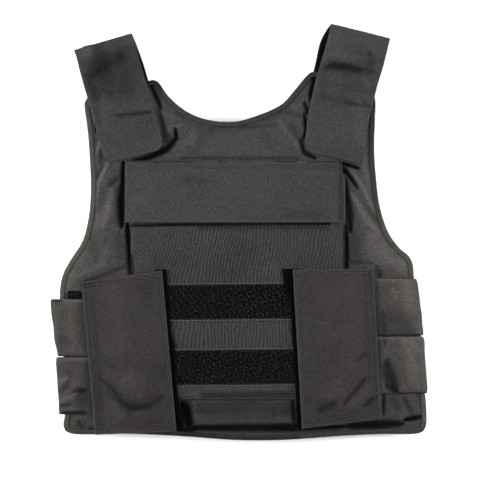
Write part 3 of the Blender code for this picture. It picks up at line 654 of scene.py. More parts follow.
def mottle_group():
    """Uneven tone: broad patches, and a speckle of a few millimetres. Puts out a factor round 1."""
    inputs, outputs = ("Patches", "Speckle", "Grain"), ("Factor", "Speckle Height")
    tree, given, end = new_group("mottle", inputs, outputs)
    fine = noise(given["Vector"], given["Grain"], roughness=0.8)
    patches = (noise(given["Vector"], PATCH_SCALE) - 0.5) * given["Patches"]
    put(end["Factor"], patches + (fine - 0.5) * given["Speckle"] + 1.0)
    put(end["Speckle Height"], fine)
    return tree


def wear_group():
    """Rubbed edges: the wear attribute broken up by noise, with a little lint over the rest."""
    tree, given, end = new_group("wear_and_lint", ("Edge", "Lint"), ("Mask",))
    rubbed = add_node(tree, "Attribute", out="Fac", attribute_name="wear")
    edge = rubbed * noise(given["Vector"], RUB_SCALE, roughness=0.7) * given["Edge"]
    specks = add_node(tree, "TexVoronoi", {"Vector": given["Vector"], "Scale": LINT_SCALE})
    chosen = noise(given["Vector"], LINT_PLACES, 0.0).maths("GREATER_THAN", LINT_SHARE)
    lint = specks.maths("LESS_THAN", LINT_SIZE) * chosen * given["Lint"]
    put(end["Mask"], edge.maths("MAXIMUM", lint))
    return tree


GROUPS = {"weave": weave_group(), "ribs": rib_group(), "mottle": mottle_group(), "wear": wear_group()}


def cloth_material(name, colour, roughness=0.54, threads=1050.0, bump=0.40, patches=0.35, speckle=2.9,
                   grain=440.0, ribs=None, rib_shade=0.0, rib_bump=0.0, plain_below=None, edge=0.3,
                   lint=0.6, gloss=0.03):
    """Woven cloth: the threads' shade, the mottle and the fold attribute, which holds painted shade and
    highlight, colour it, rubbed edges and lint lighten it, and the threads, the speckle and any ribs raise
    it. Ribs may end above plain cloth."""
    material = bpy.data.materials.new(name)
    material.use_nodes = True
    tree = material.node_tree
    shader = tree.nodes["Principled BSDF"].inputs
    flat, place = add_node(tree, "UVMap", uv_map="cloth"), add_node(tree, "TexCoord", out="Object")
    height, shade = use_group("weave", flat, ("Height", "Shade"), Threads=threads)
    outputs = ("Factor", "Speckle Height")
    mottle, fine = use_group("mottle", place, outputs, Patches=patches, Speckle=speckle, Grain=grain)
    worn = use_group("wear", place, "Mask", Edge=edge, Lint=lint)
    # The fold attribute: painted shade and highlight, which multiply the cloth's colour.
    fold = add_node(tree, "Attribute", out="Fac", attribute_name="fold")
    factor, height = shade * mottle * (fold + 1.0), fine * SPECKLE_BUMP + height
    if ribs:
        rib = use_group("ribs", flat, "Height", **ribs)
        if plain_below is not None:
            above = split(place)[1] - plain_below
            rib = mix(above.maths("MULTIPLY", RIB_END, clamp=True), 0.5, rib)
        factor, height = factor * (rib * rib_shade + (1.0 - rib_shade / 2)), rib * rib_bump + height
    rubbed = (*(min(1.0, c * RUBBED_GAIN + RUBBED_PALE) for c in colour), 1.0)
    colours = {0: worn, 6: times(tree, colour, factor), 7: rubbed}
    put(shader["Base Color"], add_node(tree, "Mix", colours, 2, data_type="RGBA"))
    bumps = {"Strength": bump, "Distance": BUMP_DISTANCE, "Height": height}
    put(shader["Normal"], add_node(tree, "Bump", bumps))
    rough = fine * SPECKLE_ROUGH + (roughness - SPECKLE_ROUGH / 2)
    put(shader["Roughness"], rough.maths("ADD", fold * FOLD_ROUGH, clamp=True))
    put(shader["Specular IOR Level"], gloss)
    return material


CLOTHS = {
    "panel": cloth_material("panel_nylon", (0.0262, 0.0248, 0.0236), threads=1150.0),
    "pocket": cloth_material(
        "pocket_nylon", (0.0212, 0.0204, 0.0204), threads=1150.0, rib_shade=0.62, rib_bump=2.0,
        ribs={"Ribs": 205.0, "Bend": 0.0110, "Bend Length": 16.0, "Fan": 0.8}, plain_below=-0.219),
    "cover": cloth_material("cover_nylon", (0.0250, 0.0239, 0.0229)),
    "flap": cloth_material("flap_nylon", (0.0188, 0.0174, 0.0162)),
    "strap": cloth_material("strap_nylon", (0.0245, 0.0232, 0.0220), patches=0.9),
    "lining": cloth_material(
        "lining_cloth", (0.0200, 0.0198, 0.0200), 0.66, 1400.0, 0.3, lint=0.9, gloss=0.06),
    "binding": cloth_material(
        "binding_tape", (0.0205, 0.0198, 0.0168), 0.62, 1300.0, 0.3, rib_shade=0.25, rib_bump=1.0,
        ribs={"Ribs": 520.0, "Bend": 0.0, "Bend Length": 1.0}, grain=400.0, edge=0.7),
    "elastic": cloth_material(
        "side_elastic", (0.0275, 0.0256, 0.0238), threads=900.0, rib_shade=0.20, rib_bump=0.8,
        ribs={"Ribs": 330.0, "Bend": 0.0006, "Bend Length": 60.0}, gloss=0.04),
    "tape": cloth_material(
        "loop_tape_base", (0.0018, 0.0018, 0.0018), 0.90, 900.0, 0.3, edge=0.1, lint=0.3, gloss=0.02),
    "pile": cloth_material(
        "loop_pile", (0.0058, 0.0055, 0.0055), 0.60, 700.0, 0.1, 0.4, 5.0, 400.0, edge=0.0, gloss=0.05),
}
for key, label, dye in (
    ("thread", "sewing_thread", (0.0440, 0.0424, 0.0386)),
    ("selvedge", "tape_selvedge", (0.0571, 0.0544, 0.0524)),
):
    CLOTHS[key] = cloth_material(label, dye, 0.55, 2500.0, 0.1, edge=0.0, lint=0.0, gloss=0.1)


# Folds and hollows of the front panel's cloth: beside the straps, the cover and the pocket, along the
# armholes, at the flaps' edges and in the gathered foot. The last value is painted shade or highlight in
# thousandths, laid into the cloth's colour: painted shadows in the hollows and where the straps, the cover,
# the flaps and the foot throw them, and painted highlights on ridges. The cloth stands up by PANEL_RISE
# where palest and goes down by PANEL_SINK where black.
PANEL_RISE, PANEL_SINK = 0.0032, 0.0052
PANEL_FOLDS_AND_SHADE = [
    # Beside the left strap: the tab's hollow, the strap's inner edge and its end
    (-126, 212, -110, 174, 4, -900), (-115, 182, -101, 124, 4, -700), (-113, 168, -82, 159, 3, 350),
    (-97, 145, -78, 152, 3, 350), (-90, 168, -78, 160, 3, -300), (-165, 95, -126, 105, 3, -950),
    (-126, 105, -102, 116, 5, -950), (-102, 116, -88, 132, 6, -950), (-88, 132, -90, 146, 5, -950),
    (-108, 138, -97, 126, 8, -600),
    # The chest
    (-70, 120, -55, 100, 7, -180), (-60, 115, -35, 148, 7, -180), (-80, 115, -60, 140, 6, 200),
    (30, 142, 48, 115, 7, -160), (-82, 103, 88, 103, 3, -450), (-40, 147, 55, 149, 3, -350),
    # The left shoulder, and the folds that run from it down the armhole
    (-209, 198, -202, 166, 2, -850), (-202, 166, -204, 140, 3, -950), (-208, 184, -206, 134, 2, 500),
    (-195, 130, -204, 108, 2, 850), (-204, 108, -204, 80, 3, 850), (-192, 117, -198, 94, 6, -450),
    (-192, 94, -205, 68, 2, -550), (-184, 98, -200, 68, 3, 900), (-200, 68, -203, 35, 3, 900),
    (-168, 76, -185, 63, 4, -450), (-188, 65, -196, 37, 7, -250), (-178, 62, -182, 38, 6, 450),
    (-182, 38, -192, 6, 7, 500), (-196, 25, -208, 0, 7, 350),
    # Beside the cover and the pocket, left
    (-163, 99, -163, 70, 4, -950), (-163, 70, -165, 45, 4, -950), (-165, 45, -165, 6, 7, -950),
    (-157, 15, -152, -62, 4, -950),
    # The waist on the left
    (-214, -12, -239, -48, 8, 600), (-239, -48, -247, -85, 9, 650), (-185, -20, -196, -42, 8, 200),
    (-168, 0, -165, -42, 7, -250), (-208, -11, -199, -42, 6, -200), (-222, -74, -160, -51, 3, -400),
    (-225, -62, -188, -45, 7, 300),
    # Beside the right strap
    (108, 227, 101, 185, 4, -950), (92, 184, 98, 165, 3, -900), (92, 168, 95, 144, 4, -900),
    (95, 144, 90, 128, 3, -900), (86, 130, 92, 111, 3, -950), (92, 111, 109, 103, 3, -950),
    (89, 134, 90, 120, 4, -550), (65, 182, 90, 172, 3, 300), (64, 168, 88, 164, 3, -320),
    (58, 155, 86, 116, 4, 350), (72, 152, 85, 131, 6, -300),
    # The fan of folds under the right strap
    (140, 98, 171, 89, 3, -950), (146, 92, 168, 61, 3, -850), (148, 90, 151, 52, 3, -900),
    (151, 52, 155, 22, 4, -850), (155, 22, 157, 0, 7, -850), (161, 0, 165, -37, 8, -250),
    (155, 89, 178, 59, 4, 900), (178, 59, 196, 21, 4, 900), (158, 54, 177, 21, 4, 800),
    (177, 21, 201, -4, 6, 800), (182, 35, 195, 13, 3, -300), (177, 107, 188, 51, 6, 600),
    (188, 150, 186, 100, 5, 350),
    # The waist on the right, and beside the pocket
    (186, -6, 222, -42, 25, 650), (213, -20, 244, -62, 13, 750), (206, -4, 191, -16, 3, -300),
    (150, 14, 151, -54, 4, -950), (157, -44, 189, -45, 3, -400), (177, -51, 185, -66, 4, -350),
    (194, -48, 199, -65, 5, -520),
    # The hem and the gathered foot
    (-80, -240, -70, -275, 10, -900), (-70, -277, 150, -276, 7, -900), (150, -275, 233, -272, 7, -900),
    (233, -267, 261, -262, 4, -950), (-60, -243, 70, -243, 4, -400), (-60, -253, 72, -253, 17, -450),
    (76, -237, 79, -271, 4, -850), (204, -228, 204, -260, 2, -650), (216, -235, 227, -254, 6, -350),
    (233, -235, 246, -259, 4, -450), (-100, -282, -60, -279, 5, -850), (-227, -268, -220, -280, 5, -450),
    (-213, -281, -202, -281, 3, -900),
]
# The pocket's foot, gathered over the hem: its left and right edge, its lower edge and its height.
PUFF_X, PUFF_LOW, PUFF_HEIGHT = (-0.0700, 0.1020), -0.2785, 0.0050
# Its left, right and lower sides rise over these distances. Its left side slants by so much from a
# depth down, over a run, and a share of its height is even.
PUFF_SOFT, PUFF_SLANT, PUFF_SLANT_FROM, PUFF_EVEN = (0.008, 0.010, 0.007), 0.010, (0.2600, 0.0160), 0.82

PANEL_INSETS = [0.0014, 0.0026, 0.0042, 0.0058, 0.0072, 0.0086, 0.0100, 0.0115, 0.0130, 0.0150, 0.0170,
                0.0190, 0.0210, 0.0235, 0.0260]
# How much closer together grid lines are at a panel's ends: across it and along it.
PANEL_CROWDING = (0.30, 0.15)
# Where puckers are along the edge's seam, and from where and in what distance folds fade in. The same
# for the lining and for the back, how round the padding's shoulder is, and how full panels are.
PUCKER_AT, PUCKER_HALF, FOLDS_FROM, FOLDS_FADE = 0.015, 0.007, 0.0095, 0.009
LINING_FADE, BACK_FADE, SHOULDER_ROUND, PANEL_FILL = (0.012, 0.01), (0.010, 0.010), 0.10, 0.5


def panel_shares(cells):
    """Where a panel's grid lines are, across and along, as shares."""
    return [crowded_shares(*pair) for pair in zip(cells, PANEL_CROWDING)]


def padding(distance):
    """0 on a panel's sewn rim and 1 where the padding is full: straight between, and half a sine more."""
    t = np.clip((distance - RIM_WIDTH) / (PAD_WIDTH - RIM_WIDTH), 0.0, 1.0)
    return t + SHOULDER_ROUND * np.sin(np.pi * t)


def hem_puff(x, y):
    """The pocket's gathered foot that bulges over the hem: a soft box with a wavy lower edge, its left
    side slanting where it is lowest."""
    left = PUFF_X[0] + PUFF_SLANT * rise(-y, *PUFF_SLANT_FROM)
    across = rise(x, left, PUFF_SOFT[0]) * rise(-x, -PUFF_X[1], PUFF_SOFT[1])
    up = rise(y, PUFF_LOW + uneven("puff_edge", x, 0 * y), PUFF_SOFT[2])
    return PUFF_HEIGHT * across * up * (PUFF_EVEN + uneven("puff", x, y))


def front_relief(x, y, distance):
    """The front panel's folds, its gathered foot, and puckers along the seam where cloth is eased in."""
    pucker = uneven("pucker", x, y) * np.exp(-(((distance - PUCKER_AT) / PUCKER_HALF) ** 2))
    soft = uneven("front", x, y) + uneven("front_fine", x, y)
    tone = relief(x, y, PANEL_FOLDS_AND_SHADE)
    folds = PANEL_RISE * np.maximum(tone, 0.0) + PANEL_SINK * np.minimum(tone, 0.0)
    return (folds + soft + hem_puff(x, y)) * rise(distance, FOLDS_FROM, FOLDS_FADE) + pucker


def add_panel(name, node, outline, cells, low_of, thick, relief_of, cloth, tone_of=lambda x, y: 0.0):
    """A padded panel in place of its node: a grid over its outline, its face a thickness over its
    underside and raised by its relief."""
    plan = framed_patch(outline, *panel_shares(cells), PANEL_INSETS)
    x, y = plan[..., 0], plan[..., 1]
    distance = distance_to(np.vstack(outline)[::2], x, y)
    low = low_of(x, y, distance)
    high = low_of(x, y, distance, True) + thick(distance) + relief_of(x, y, distance)
    sides = [np.dstack([plan, z]) for z in (high, low)]
    obj = closed_sheet(name, *sides, distance, CLOTHS[cloth], plan, tone_of(x, y))
    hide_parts(node)


def front_low(x, y, distance, plain=False):
    """The lining, uneven inside its rim, or plain where asked."""
    return lining_z(x, y) - (0.0 if plain else uneven("lining", x, y) * rise(distance, *LINING_FADE))


def back_low(x, y, distance, plain=False):
    """The back panel's underside: down from its rim to the floor as the padding fills, or level."""
    return BACK_RIM_Z * (1.0 if plain else 1.0 - np.clip(padding(distance), 0.0, 1.0))


def add_panels():
    """Both panels: as thick as their rims, and the padding adds the rest."""
    # The front cloth's colour is painted with the shade and highlight of its table of folds.
    add_panel(
        "front_cloth", "front_panel", FRONT_OUTLINE, (214, 214), front_low,
        lambda d: RIM_THICK + (PANEL_THICK - RIM_THICK) * padding(d), front_relief, "panel",
        lambda x, y: relief(x, y, PANEL_FOLDS_AND_SHADE, firm=4))
    add_panel(
        "back_cloth", "back_panel", BACK_OUTLINE, (90, 84), back_low,
        lambda d: RIM_THICK + (PANEL_THICK - BACK_RIM_Z - RIM_THICK) * padding(d),
        lambda x, y, d: uneven("back", x, y) * rise(d, *BACK_FADE), "lining")


# Section of a binding in millimetres: distance inwards from the finished edge, and height over the
# underside of the rim that it wraps.
BINDING_SECTION = [
    (0.05, 1.3), (0.20, 2.6), (0.55, 3.5), (1.1, 4.0), (2.2, 4.15), (4.2, 4.05), (5.2, 3.85), (6.2, 4.0),
    (6.7, 3.95), (7.1, 3.7), (7.1, 3.3), (6.7, 3.1), (4.4, 3.05), (1.8, 3.0), (1.2, 2.4), (1.0, 1.3),
    (1.2, 0.1), (1.8, -0.4), (4.4, -0.45), (6.7, -0.5), (7.1, -0.7), (7.1, -1.1), (6.7, -1.35), (5.2, -1.2),
    (4.2, -1.4), (2.2, -1.45), (1.1, -1.4), (0.55, -0.9), (0.20, 0.0),
]
BINDING_MIDDLE, BINDING_WEAR = 0.0013, 0.0015
# The section's points that the tape's length is measured along and that its stitches lie over, and how
# high over the rim's underside these are.
RUN_POINT, STITCH_POINT, STITCH_HEIGHT = 4, 6, 0.00385
# How much paler a binding is along the sides, and its painted shade under the pocket's foot and in the
# hollow beside the left strap.
SIDE_TONE, BINDING_SHADE_TONE = 0.75, -0.50
# Where its tones begin and in what distance: outwards and up at the sides, down and inwards at the
# pocket's foot, outwards, inwards and up at the left strap.
SIDE_SPANS = (0.195, 0.010), (-0.285, 0.02)
FOOT_SPANS = (0.274, 0.004), (-0.090, 0.010)
TAB_SPANS = (0.104, 0.008), (-0.136, 0.006), (0.160, 0.020)


def edge_loop(outline, inset, cells):
    """Points round a panel at a distance inwards from its finished edge."""
    hem, right, top, left = ring_points(inset_sides(outline, inset), *panel_shares(cells))
    return np.vstack([hem[:-1], right[:-1], top[:0:-1], left[:0:-1]])


def binding_tone_and_shade(x, y):
    """A binding is paler along the sides, and has painted shade under the pocket's foot, where it overhangs,
    and in the hollow beside the left strap.
    """
    sides = rise(np.abs(x), *SIDE_SPANS[0]) * rise(y, *SIDE_SPANS[1])
    foot = rise(-y, *FOOT_SPANS[0]) * rise(-np.abs(x), *FOOT_SPANS[1])
    tab = rise(-x, *TAB_SPANS[0]) * rise(x, *TAB_SPANS[1]) * rise(y, *TAB_SPANS[2])
    return SIDE_TONE * sides + BINDING_SHADE_TONE * (foot + tab)


def add_binding(name, node, outline, rim_low, cells):
    """Tape folded over a panel's rim: the section's points carried round the outline, with small puckers
    between its stitches. Returns the path of its stitches and their normals."""
    section = np.array(BINDING_SECTION) / 1000.0
    rings = []
    for inwards, height in section:
        x, y = edge_loop(outline, inwards, cells).T
        z = rim_low(x, y) + height + uneven("binding", x, y) * np.sign(height - BINDING_MIDDLE)
        rings.append(np.column_stack([x, y, z]))
    rings = np.array(rings).transpose(1, 0, 2)
    run = reach_along(rings[:, RUN_POINT])
    uv = np.dstack(np.broadcast_arrays(run[:, None], section[None, :, 0]))
    wear = np.broadcast_to(np.clip(1.0 - section[:, 0] / BINDING_WEAR, 0.0, 1.0), rings.shape[:2])
    tone = binding_tone_and_shade(rings[..., 0], rings[..., 1])
    obj = rings_mesh(name, rings, CLOTHS["binding"], uv, wear, tone)
    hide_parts(node)
    path = rings[:, STITCH_POINT].copy()
    path[:, 2] = rim_low(path[:, 0], path[:, 1]) + STITCH_HEIGHT
    return with_upright(np.vstack([path, path[:1]]))


def back_rim(x, y):
    """The level underside of the back panel's rim."""
    return np.full_like(x, BACK_RIM_Z)


def add_bindings():
    """The tapes folded over both panels' rims, and all their stitches as one piece."""
    rows = [
        add_binding("front_edge_tape", "front_binding", FRONT_OUTLINE, lining_z, (190, 200)),
        add_binding("back_edge_tape", "back_binding", BACK_OUTLINE, back_rim, (110, 110)),
    ]
    add_stitches("edge_tape_stitches", rows, 0.0034)


POCKET_FOLDS = [
    (-60, -30, -40, -70, 14, 0.9), (40, -20, 56, -66, 14, 0.9), (-10, -8, 6, -60, 18, -0.8),
    (-66, -222, 70, -221, 3, 0.9), (-60, -229, 72, -228, 2.4, -0.8), (8, -214, 14, -236, 3, 0.7),
    (-38, -216, -31, -236, 4, 0.8),
]
# The pocket's painted shade: the shadow line under the cover's free edge, the shadowed gaps at the pocket's
# turned sides and the dark line over its foot; and two broad darker patches.
POCKET_SHADES = [
    (-151, 8, -83, 10, 2, -950), (-83, 10, 128, 11, 2.5, -950), (-158, 10, -123, 8, 4, -400),
    (-55, 6, 123, 6, 4, -400), (-151, -34, -150, -62, 2.5, -950), (149, 8, 149, -51, 2.5, -950),
    (-90, -236, 75, -234, 3, -450), (-48, -231, 74, -229, 5, -500), (-110, -42, 0, -62, 20, -150),
    (15, -26, 115, -37, 12, -100),
]
# Upright wrinkles in the pocket: height, width, how far they lean and the y that they lean from. Their
# share is 1 between the tapes, from and to a place on the slant, and less above the upper one.
WRINKLE_HEIGHT, WRINKLE_WIDTH, WRINKLE_LEAN, WRINKLE_Y = 0.00075, 0.0102, 0.10, -0.145
WRINKLES_LOW, WRINKLES_HIGH, WRINKLE_FADE, WRINKLES_ABOVE = -0.1680, -0.1210, 0.006, 0.175
# The pocket's turned edge, a quarter round, with grid lines in it at these distances. Then the grid lines
# of the rest, the distance in which folds fade in, its flat size, and its rows of stitches near the foot.
POCKET_NEAR = np.array([0.0, 0.25, 0.7, 1.4, 2.3, 3.3, 4.5]) / 1000.0
POCKET_ROUND, POCKET_LINES, POCKET_FADE, POCKET_FLAT = 0.0045, 140, 0.012, (0.325, 0.330)
POCKET_SEAMS, POCKET_SEAM_ENDS = (0.0030, 0.0170), (0.055, 0.255)
# Its last two grid lines before the mouth's edge, and where wrinkles above the tapes begin and end.
MOUTH_LINES, ABOVE_TAPES, UNDER_COVER = (0.0008, 0.0002), (-0.0760, 0.010), (0.0, 0.040)


def pocket_relief(x, y):
    """Broad swells, and upright wrinkles in the cloth left free between and beside the loop tapes: a sine
    of the place across, which sways and leans."""
    slant = y - TAPE_RISE * x
    between = rise(slant, WRINKLES_LOW, WRINKLE_FADE) * rise(-slant, -WRINKLES_HIGH, WRINKLE_FADE)
    above = WRINKLES_ABOVE * rise(slant, *ABOVE_TAPES) * rise(-slant, *UNDER_COVER)
    place = x + uneven("wrinkle", x, y) + WRINKLE_LEAN * (y - WRINKLE_Y)
    wrinkle = WRINKLE_HEIGHT * np.sin(2 * np.pi * place / WRINKLE_WIDTH)
    return relief(x, y, POCKET_FOLDS) + wrinkle * (between + above) + uneven("pocket", x, y)


def add_pocket():
    """The plate pocket: one cloth that lies over the plate's room and turns down to the panel at its
    sides and its foot, in a quarter round over 4.5 mm."""
    near = POCKET_NEAR
    width, height = POCKET_X[1] - POCKET_X[0], POCKET_Y[1] - POCKET_Y[0]
    broad = np.linspace(near[-1], width - near[-1], POCKET_LINES)
    us = np.concatenate([near[:-1], broad, width - near[-2::-1]])
    tall = np.linspace(near[-1], height - MOUTH_LINES[0], POCKET_LINES)
    vs = np.concatenate([near[:-1], tall, [height - MOUTH_LINES[1], height]])
    x, y = np.meshgrid(POCKET_X[0] + us, POCKET_Y[0] + vs, indexing="ij")
    edge = np.minimum(np.minimum(us, us[-1] - us)[:, None], vs)
    foot = panel_face(x, y) + GAP + POCKET_WALL / 2
    z = foot + (pocket_face(x, y) - POCKET_WALL / 2 - foot) * rim_round(edge, POCKET_ROUND)
    middle = np.dstack([x, y, z + pocket_relief(x, y) * smoothstep(edge / POCKET_FADE)])
    # Painted shade and highlight of the folds, and the pocket's painted shade, in the cloth's colour.
    tone = painted_fold_shading(relief(x, y, POCKET_FOLDS), POCKET_DEEP) + relief(x, y, POCKET_SHADES, False, 4)
    cloth_piece(
        "pocket_cloth", "pocket", middle, us, vs, POCKET_WALL,
        "plate_pocket", tone=tone)
    start, end = POCKET_SEAM_ENDS
    lines = [((start, v), (end, v)) for v in POCKET_SEAMS]
    sew("pocket_stitches", middle, us, vs, POCKET_WALL / 2, lines)


COVER_FOLDS = [
    (-84, 90, -56, 84, 3, 0.8), (-60, 96, -30, 92, 3, 0.6), (-90, 74, -40, 70, 5, -0.5),
    (20, 88, 70, 84, 4, 0.6), (96, 82, 134, 86, 4, 0.7), (-150, 50, -120, 30, 8, 0.7),
    (60, 22, 120, 26, 5, -0.6), (-100, 22, -30, 20, 5, 0.5),
]
# The cover's stitches: how far in, and the painted shade of their gutters. How far the cover stands off the
# pocket, and how much more at its lower edge over a distance. Then its two painted shadow lines, by the
# upper seam and by
# the right edge: how far in, the tone and the half width in millimetres, and where the second ends.
COVER_INSET, COVER_GUTTER, COVER_OFF, COVER_LIFT, COVER_LIFT_RUN = 0.0035, -0.18, 0.0006, 0.0010, 0.012
COVER_TOP_SHADOW, COVER_RIGHT_SHADOW, LINE_END = (0.0015, -0.64, 1.8), (0.0020, -0.62, 2.2), 0.004


def add_cover():
    """The pocket's cover: sewn down along its top, over a ramp onto the pocket, its lower edge a little
    proud so that it throws a shadow."""
    width, height = COVER_X[1] - COVER_X[0], COVER_Y[1] - COVER_Y[0]
    us, vs = grid_lines("cover", width, height, COVER_THICK)
    x, y = np.meshgrid(COVER_X[0] + us, COVER_Y[0] + vs, indexing="ij")
    down = rise(y, COVER_Y[1] - COVER_SEAM - COVER_RAMP, COVER_RAMP)
    low = GAP + pocket_face(x, y) + (panel_face(x, y) - pocket_face(x, y)) * down
    lift = COVER_LIFT * rise(-y, -COVER_Y[0] - COVER_LIFT_RUN, COVER_LIFT_RUN)
    wavy = relief(x, y, COVER_FOLDS) + uneven("cover", x, y)
    middle = np.dstack([x, y, low + COVER_THICK / 2 + lift + wavy * (1.0 - down) + COVER_OFF])
    m, w, h = COVER_INSET, width - COVER_INSET, height - COVER_INSET
    lines = [((m, h), (w, h)), ((m, m), (w, m)), ((m, m), (m, h)), ((w, m), (w, h))]
    # The cover's colour: painted shade and highlight of its folds, painted shade in its seam gutters, and
    # two painted shadow lines.
    tone = painted_fold_shading(relief(x, y, COVER_FOLDS), COVER_DEEP) + painted_seam_shade(us, vs, lines[1:], COVER_GUTTER)
    inset, dark, half = COVER_TOP_SHADOW
    tone += painted_seam_shade(us, vs, [((0.0, height - inset), (width, height - inset))], dark, half)
    inset, dark, half = COVER_RIGHT_SHADOW
    line = (width - inset, LINE_END), (width - inset, height - LINE_END)
    tone += painted_seam_shade(us, vs, [line], dark, half)
    cloth_piece(
        "pocket_cover", "cover", middle, us, vs, COVER_THICK,
        "id_flap", tone=tone)
    sew("cover_stitches", middle, us, vs, COVER_THICK / 2, lines)


# Loop pile: the distance between arches and their thread. A tape's ground is 0.8 mm of its thickness.
# How high its pile's feet and its stitches lie, and how far off its slope is measured.
PILE_PITCH, PILE_THREAD, TAPE_GROUND = 0.00140, 0.00028, 0.0008
PILE_FOOT, STRIP_LIFT, SLOPE_STEP = 0.0007, 0.0001, 0.0005
# Clumps of pile: two wave lengths, the second's share, their contrast, and below what the tape is bare.
CLUMP_WAVES, SECOND_SHARE, CLUMP_CONTRAST, BARE_BELOW = (0.0044, 0.0028), 0.5, 0.55, 0.05
# An arch's lean either way, its half width and its height, and what a clump adds to that. Its tone: at
# the least, what a clump adds, and how far single arches differ.
LEAN, ARCH_HALF, ARCH_HIGH, CLUMP_HIGH = 0.45, (0.0006, 0.0011), (0.0005, 0.0008), 0.0009
PILE_DARK, CLUMP_TONE, TONE_SPREAD = -0.9, 4.2, 0.3
# An arch's angles from foot to foot, and its thread's three corners.
PILE_ARCH, PILE_ROUND = np.radians([-12.0, 35.0, 90.0, 145.0, 192.0]), np.radians([90.0, 210.0, 330.0])
# Along a chest tape, the pile that shows between the flaps and the reach of its stitches. Across it, from
# its edge, where pile begins, where stitches are and, outside it, its selvedges.
PILE_SPAN, TAPE_SPAN = (0.0340, 0.2440), (0.030, 0.250)
PILE_EDGE, TAPE_STITCHES_IN, SELVEDGE_OUT = 0.0016, 0.0009, 0.0010
# A side tape's grid is this long. Pile covers what may show of it, along it and across it.
SIDE_TAPE_LENGTH, SIDE_PILE_Y = 0.080, (0.0015, 0.0480)
SIDE_PILE_X = {"left": (0.001, 0.030), "right": (0.060, 0.079)}


def loop_pile(name, spots, normal, seed):
    """Loop pile: at each spot an arch of thread, five places along and three round, turned and leaning
    its own way. Its feet are in the tape. Arches stand in clumps, which are higher and paler."""
    rng = np.random.default_rng(seed)
    x, y = spots[:, 0], spots[:, 1]
    broad, small = CLUMP_WAVES
    clump = crumple(x, y, broad, seed) + SECOND_SHARE * crumple(x, y, small, seed + 9)
    clump = np.clip(0.5 + CLUMP_CONTRAST * clump, 0.0, 1.0)
    spots, normal, clump = (a[clump > BARE_BELOW] for a in (spots, normal, clump))
    n = len(spots)
    turn, lean = rng.uniform(0.0, 2 * np.pi, n), rng.uniform(-LEAN, LEAN, n)
    wide, high = rng.uniform(*ARCH_HALF, n), rng.uniform(*ARCH_HIGH, n) + CLUMP_HIGH * clump
    along = np.column_stack([np.cos(turn), np.sin(turn), np.zeros(n)])
    side = unit(np.cross(normal, along))
    along = np.cross(side, normal)
    up = normal + side * lean[:, None]
    out = [along[:, None] * np.cos(PILE_ARCH)[:, None], up[:, None] * np.sin(PILE_ARCH)[:, None]]
    middle = spots[:, None] + out[0] * wide[:, None, None] + out[1] * high[:, None, None]
    ring = tube_ring(out[0] + out[1], side[:, None], PILE_ROUND)
    points = (middle[:, :, None] + ring * PILE_THREAD).reshape(-1, 3)
    size, quads = len(PILE_ARCH) * len(PILE_ROUND), tube_quads(len(PILE_ARCH), len(PILE_ROUND))
    one = np.vstack([quads[:, [0, 1, 2]], quads[:, [0, 2, 3]], [[2, 1, 0], [12, 13, 14]]])
    tris = (one[None] + (np.arange(n) * size)[:, None, None]).reshape(-1, 3)
    tone = PILE_DARK + CLUMP_TONE * clump**2 + rng.uniform(-TONE_SPREAD, TONE_SPREAD, n)
    return add_mesh(name, points, tris, CLOTHS["pile"], points[:, :2], fold=np.repeat(tone, size))


def add_loop_tape(name, node, plan_of, low_of, us, vs, shown, seed):
    """Loop tape: a thin woven ground with plain edges, and pile between them over the part shown."""
    x, y = plan_of(*np.meshgrid(us, vs, indexing="ij"))
    middle = np.dstack([x, y, low_of(x, y) + TAPE_GROUND / 2])
    cloth_piece(name, "tape", middle, us, vs, TAPE_GROUND, node)
    rng = np.random.default_rng(seed)
    cells = [np.arange(lo + PILE_PITCH / 2, hi, PILE_PITCH) for lo, hi in shown]
    u, v = (g.ravel() for g in np.meshgrid(*cells, indexing="ij"))
    u, v = (g + rng.uniform(-0.5, 0.5, len(g)) * PILE_PITCH for g in (u, v))
    x, y = plan_of(u, v)
    spots = np.column_stack([x, y, low_of(x, y) + PILE_FOOT])
    step = SLOPE_STEP
    slope_x = (low_of(x + step, y) - low_of(x - step, y)) / (2 * step)
    slope_y = (low_of(x, y + step) - low_of(x, y - step)) / (2 * step)
    normal = unit(np.column_stack([-slope_x, -slope_y, np.ones(len(x))]))
    loop_pile(name + "_pile", spots, normal, seed + 1)


def strip_row(plan_of, low_of, v, lift):
    """A row along a chest tape, at a distance from its lower edge and lifted off its underside."""
    u = np.linspace(*TAPE_SPAN, 150)
    x, y = plan_of(u, np.full_like(u, v))
    return with_upright(np.column_stack([x, y, low_of(x, y) + lift]))


def tape_low(x, y):
    """The underside of a chest tape: it lies on the pocket and follows half of each rise in it."""
    return pocket_face(x, y) + GAP + STRIP_LIFT + np.maximum(pocket_relief(x, y), 0.0) * 0.5


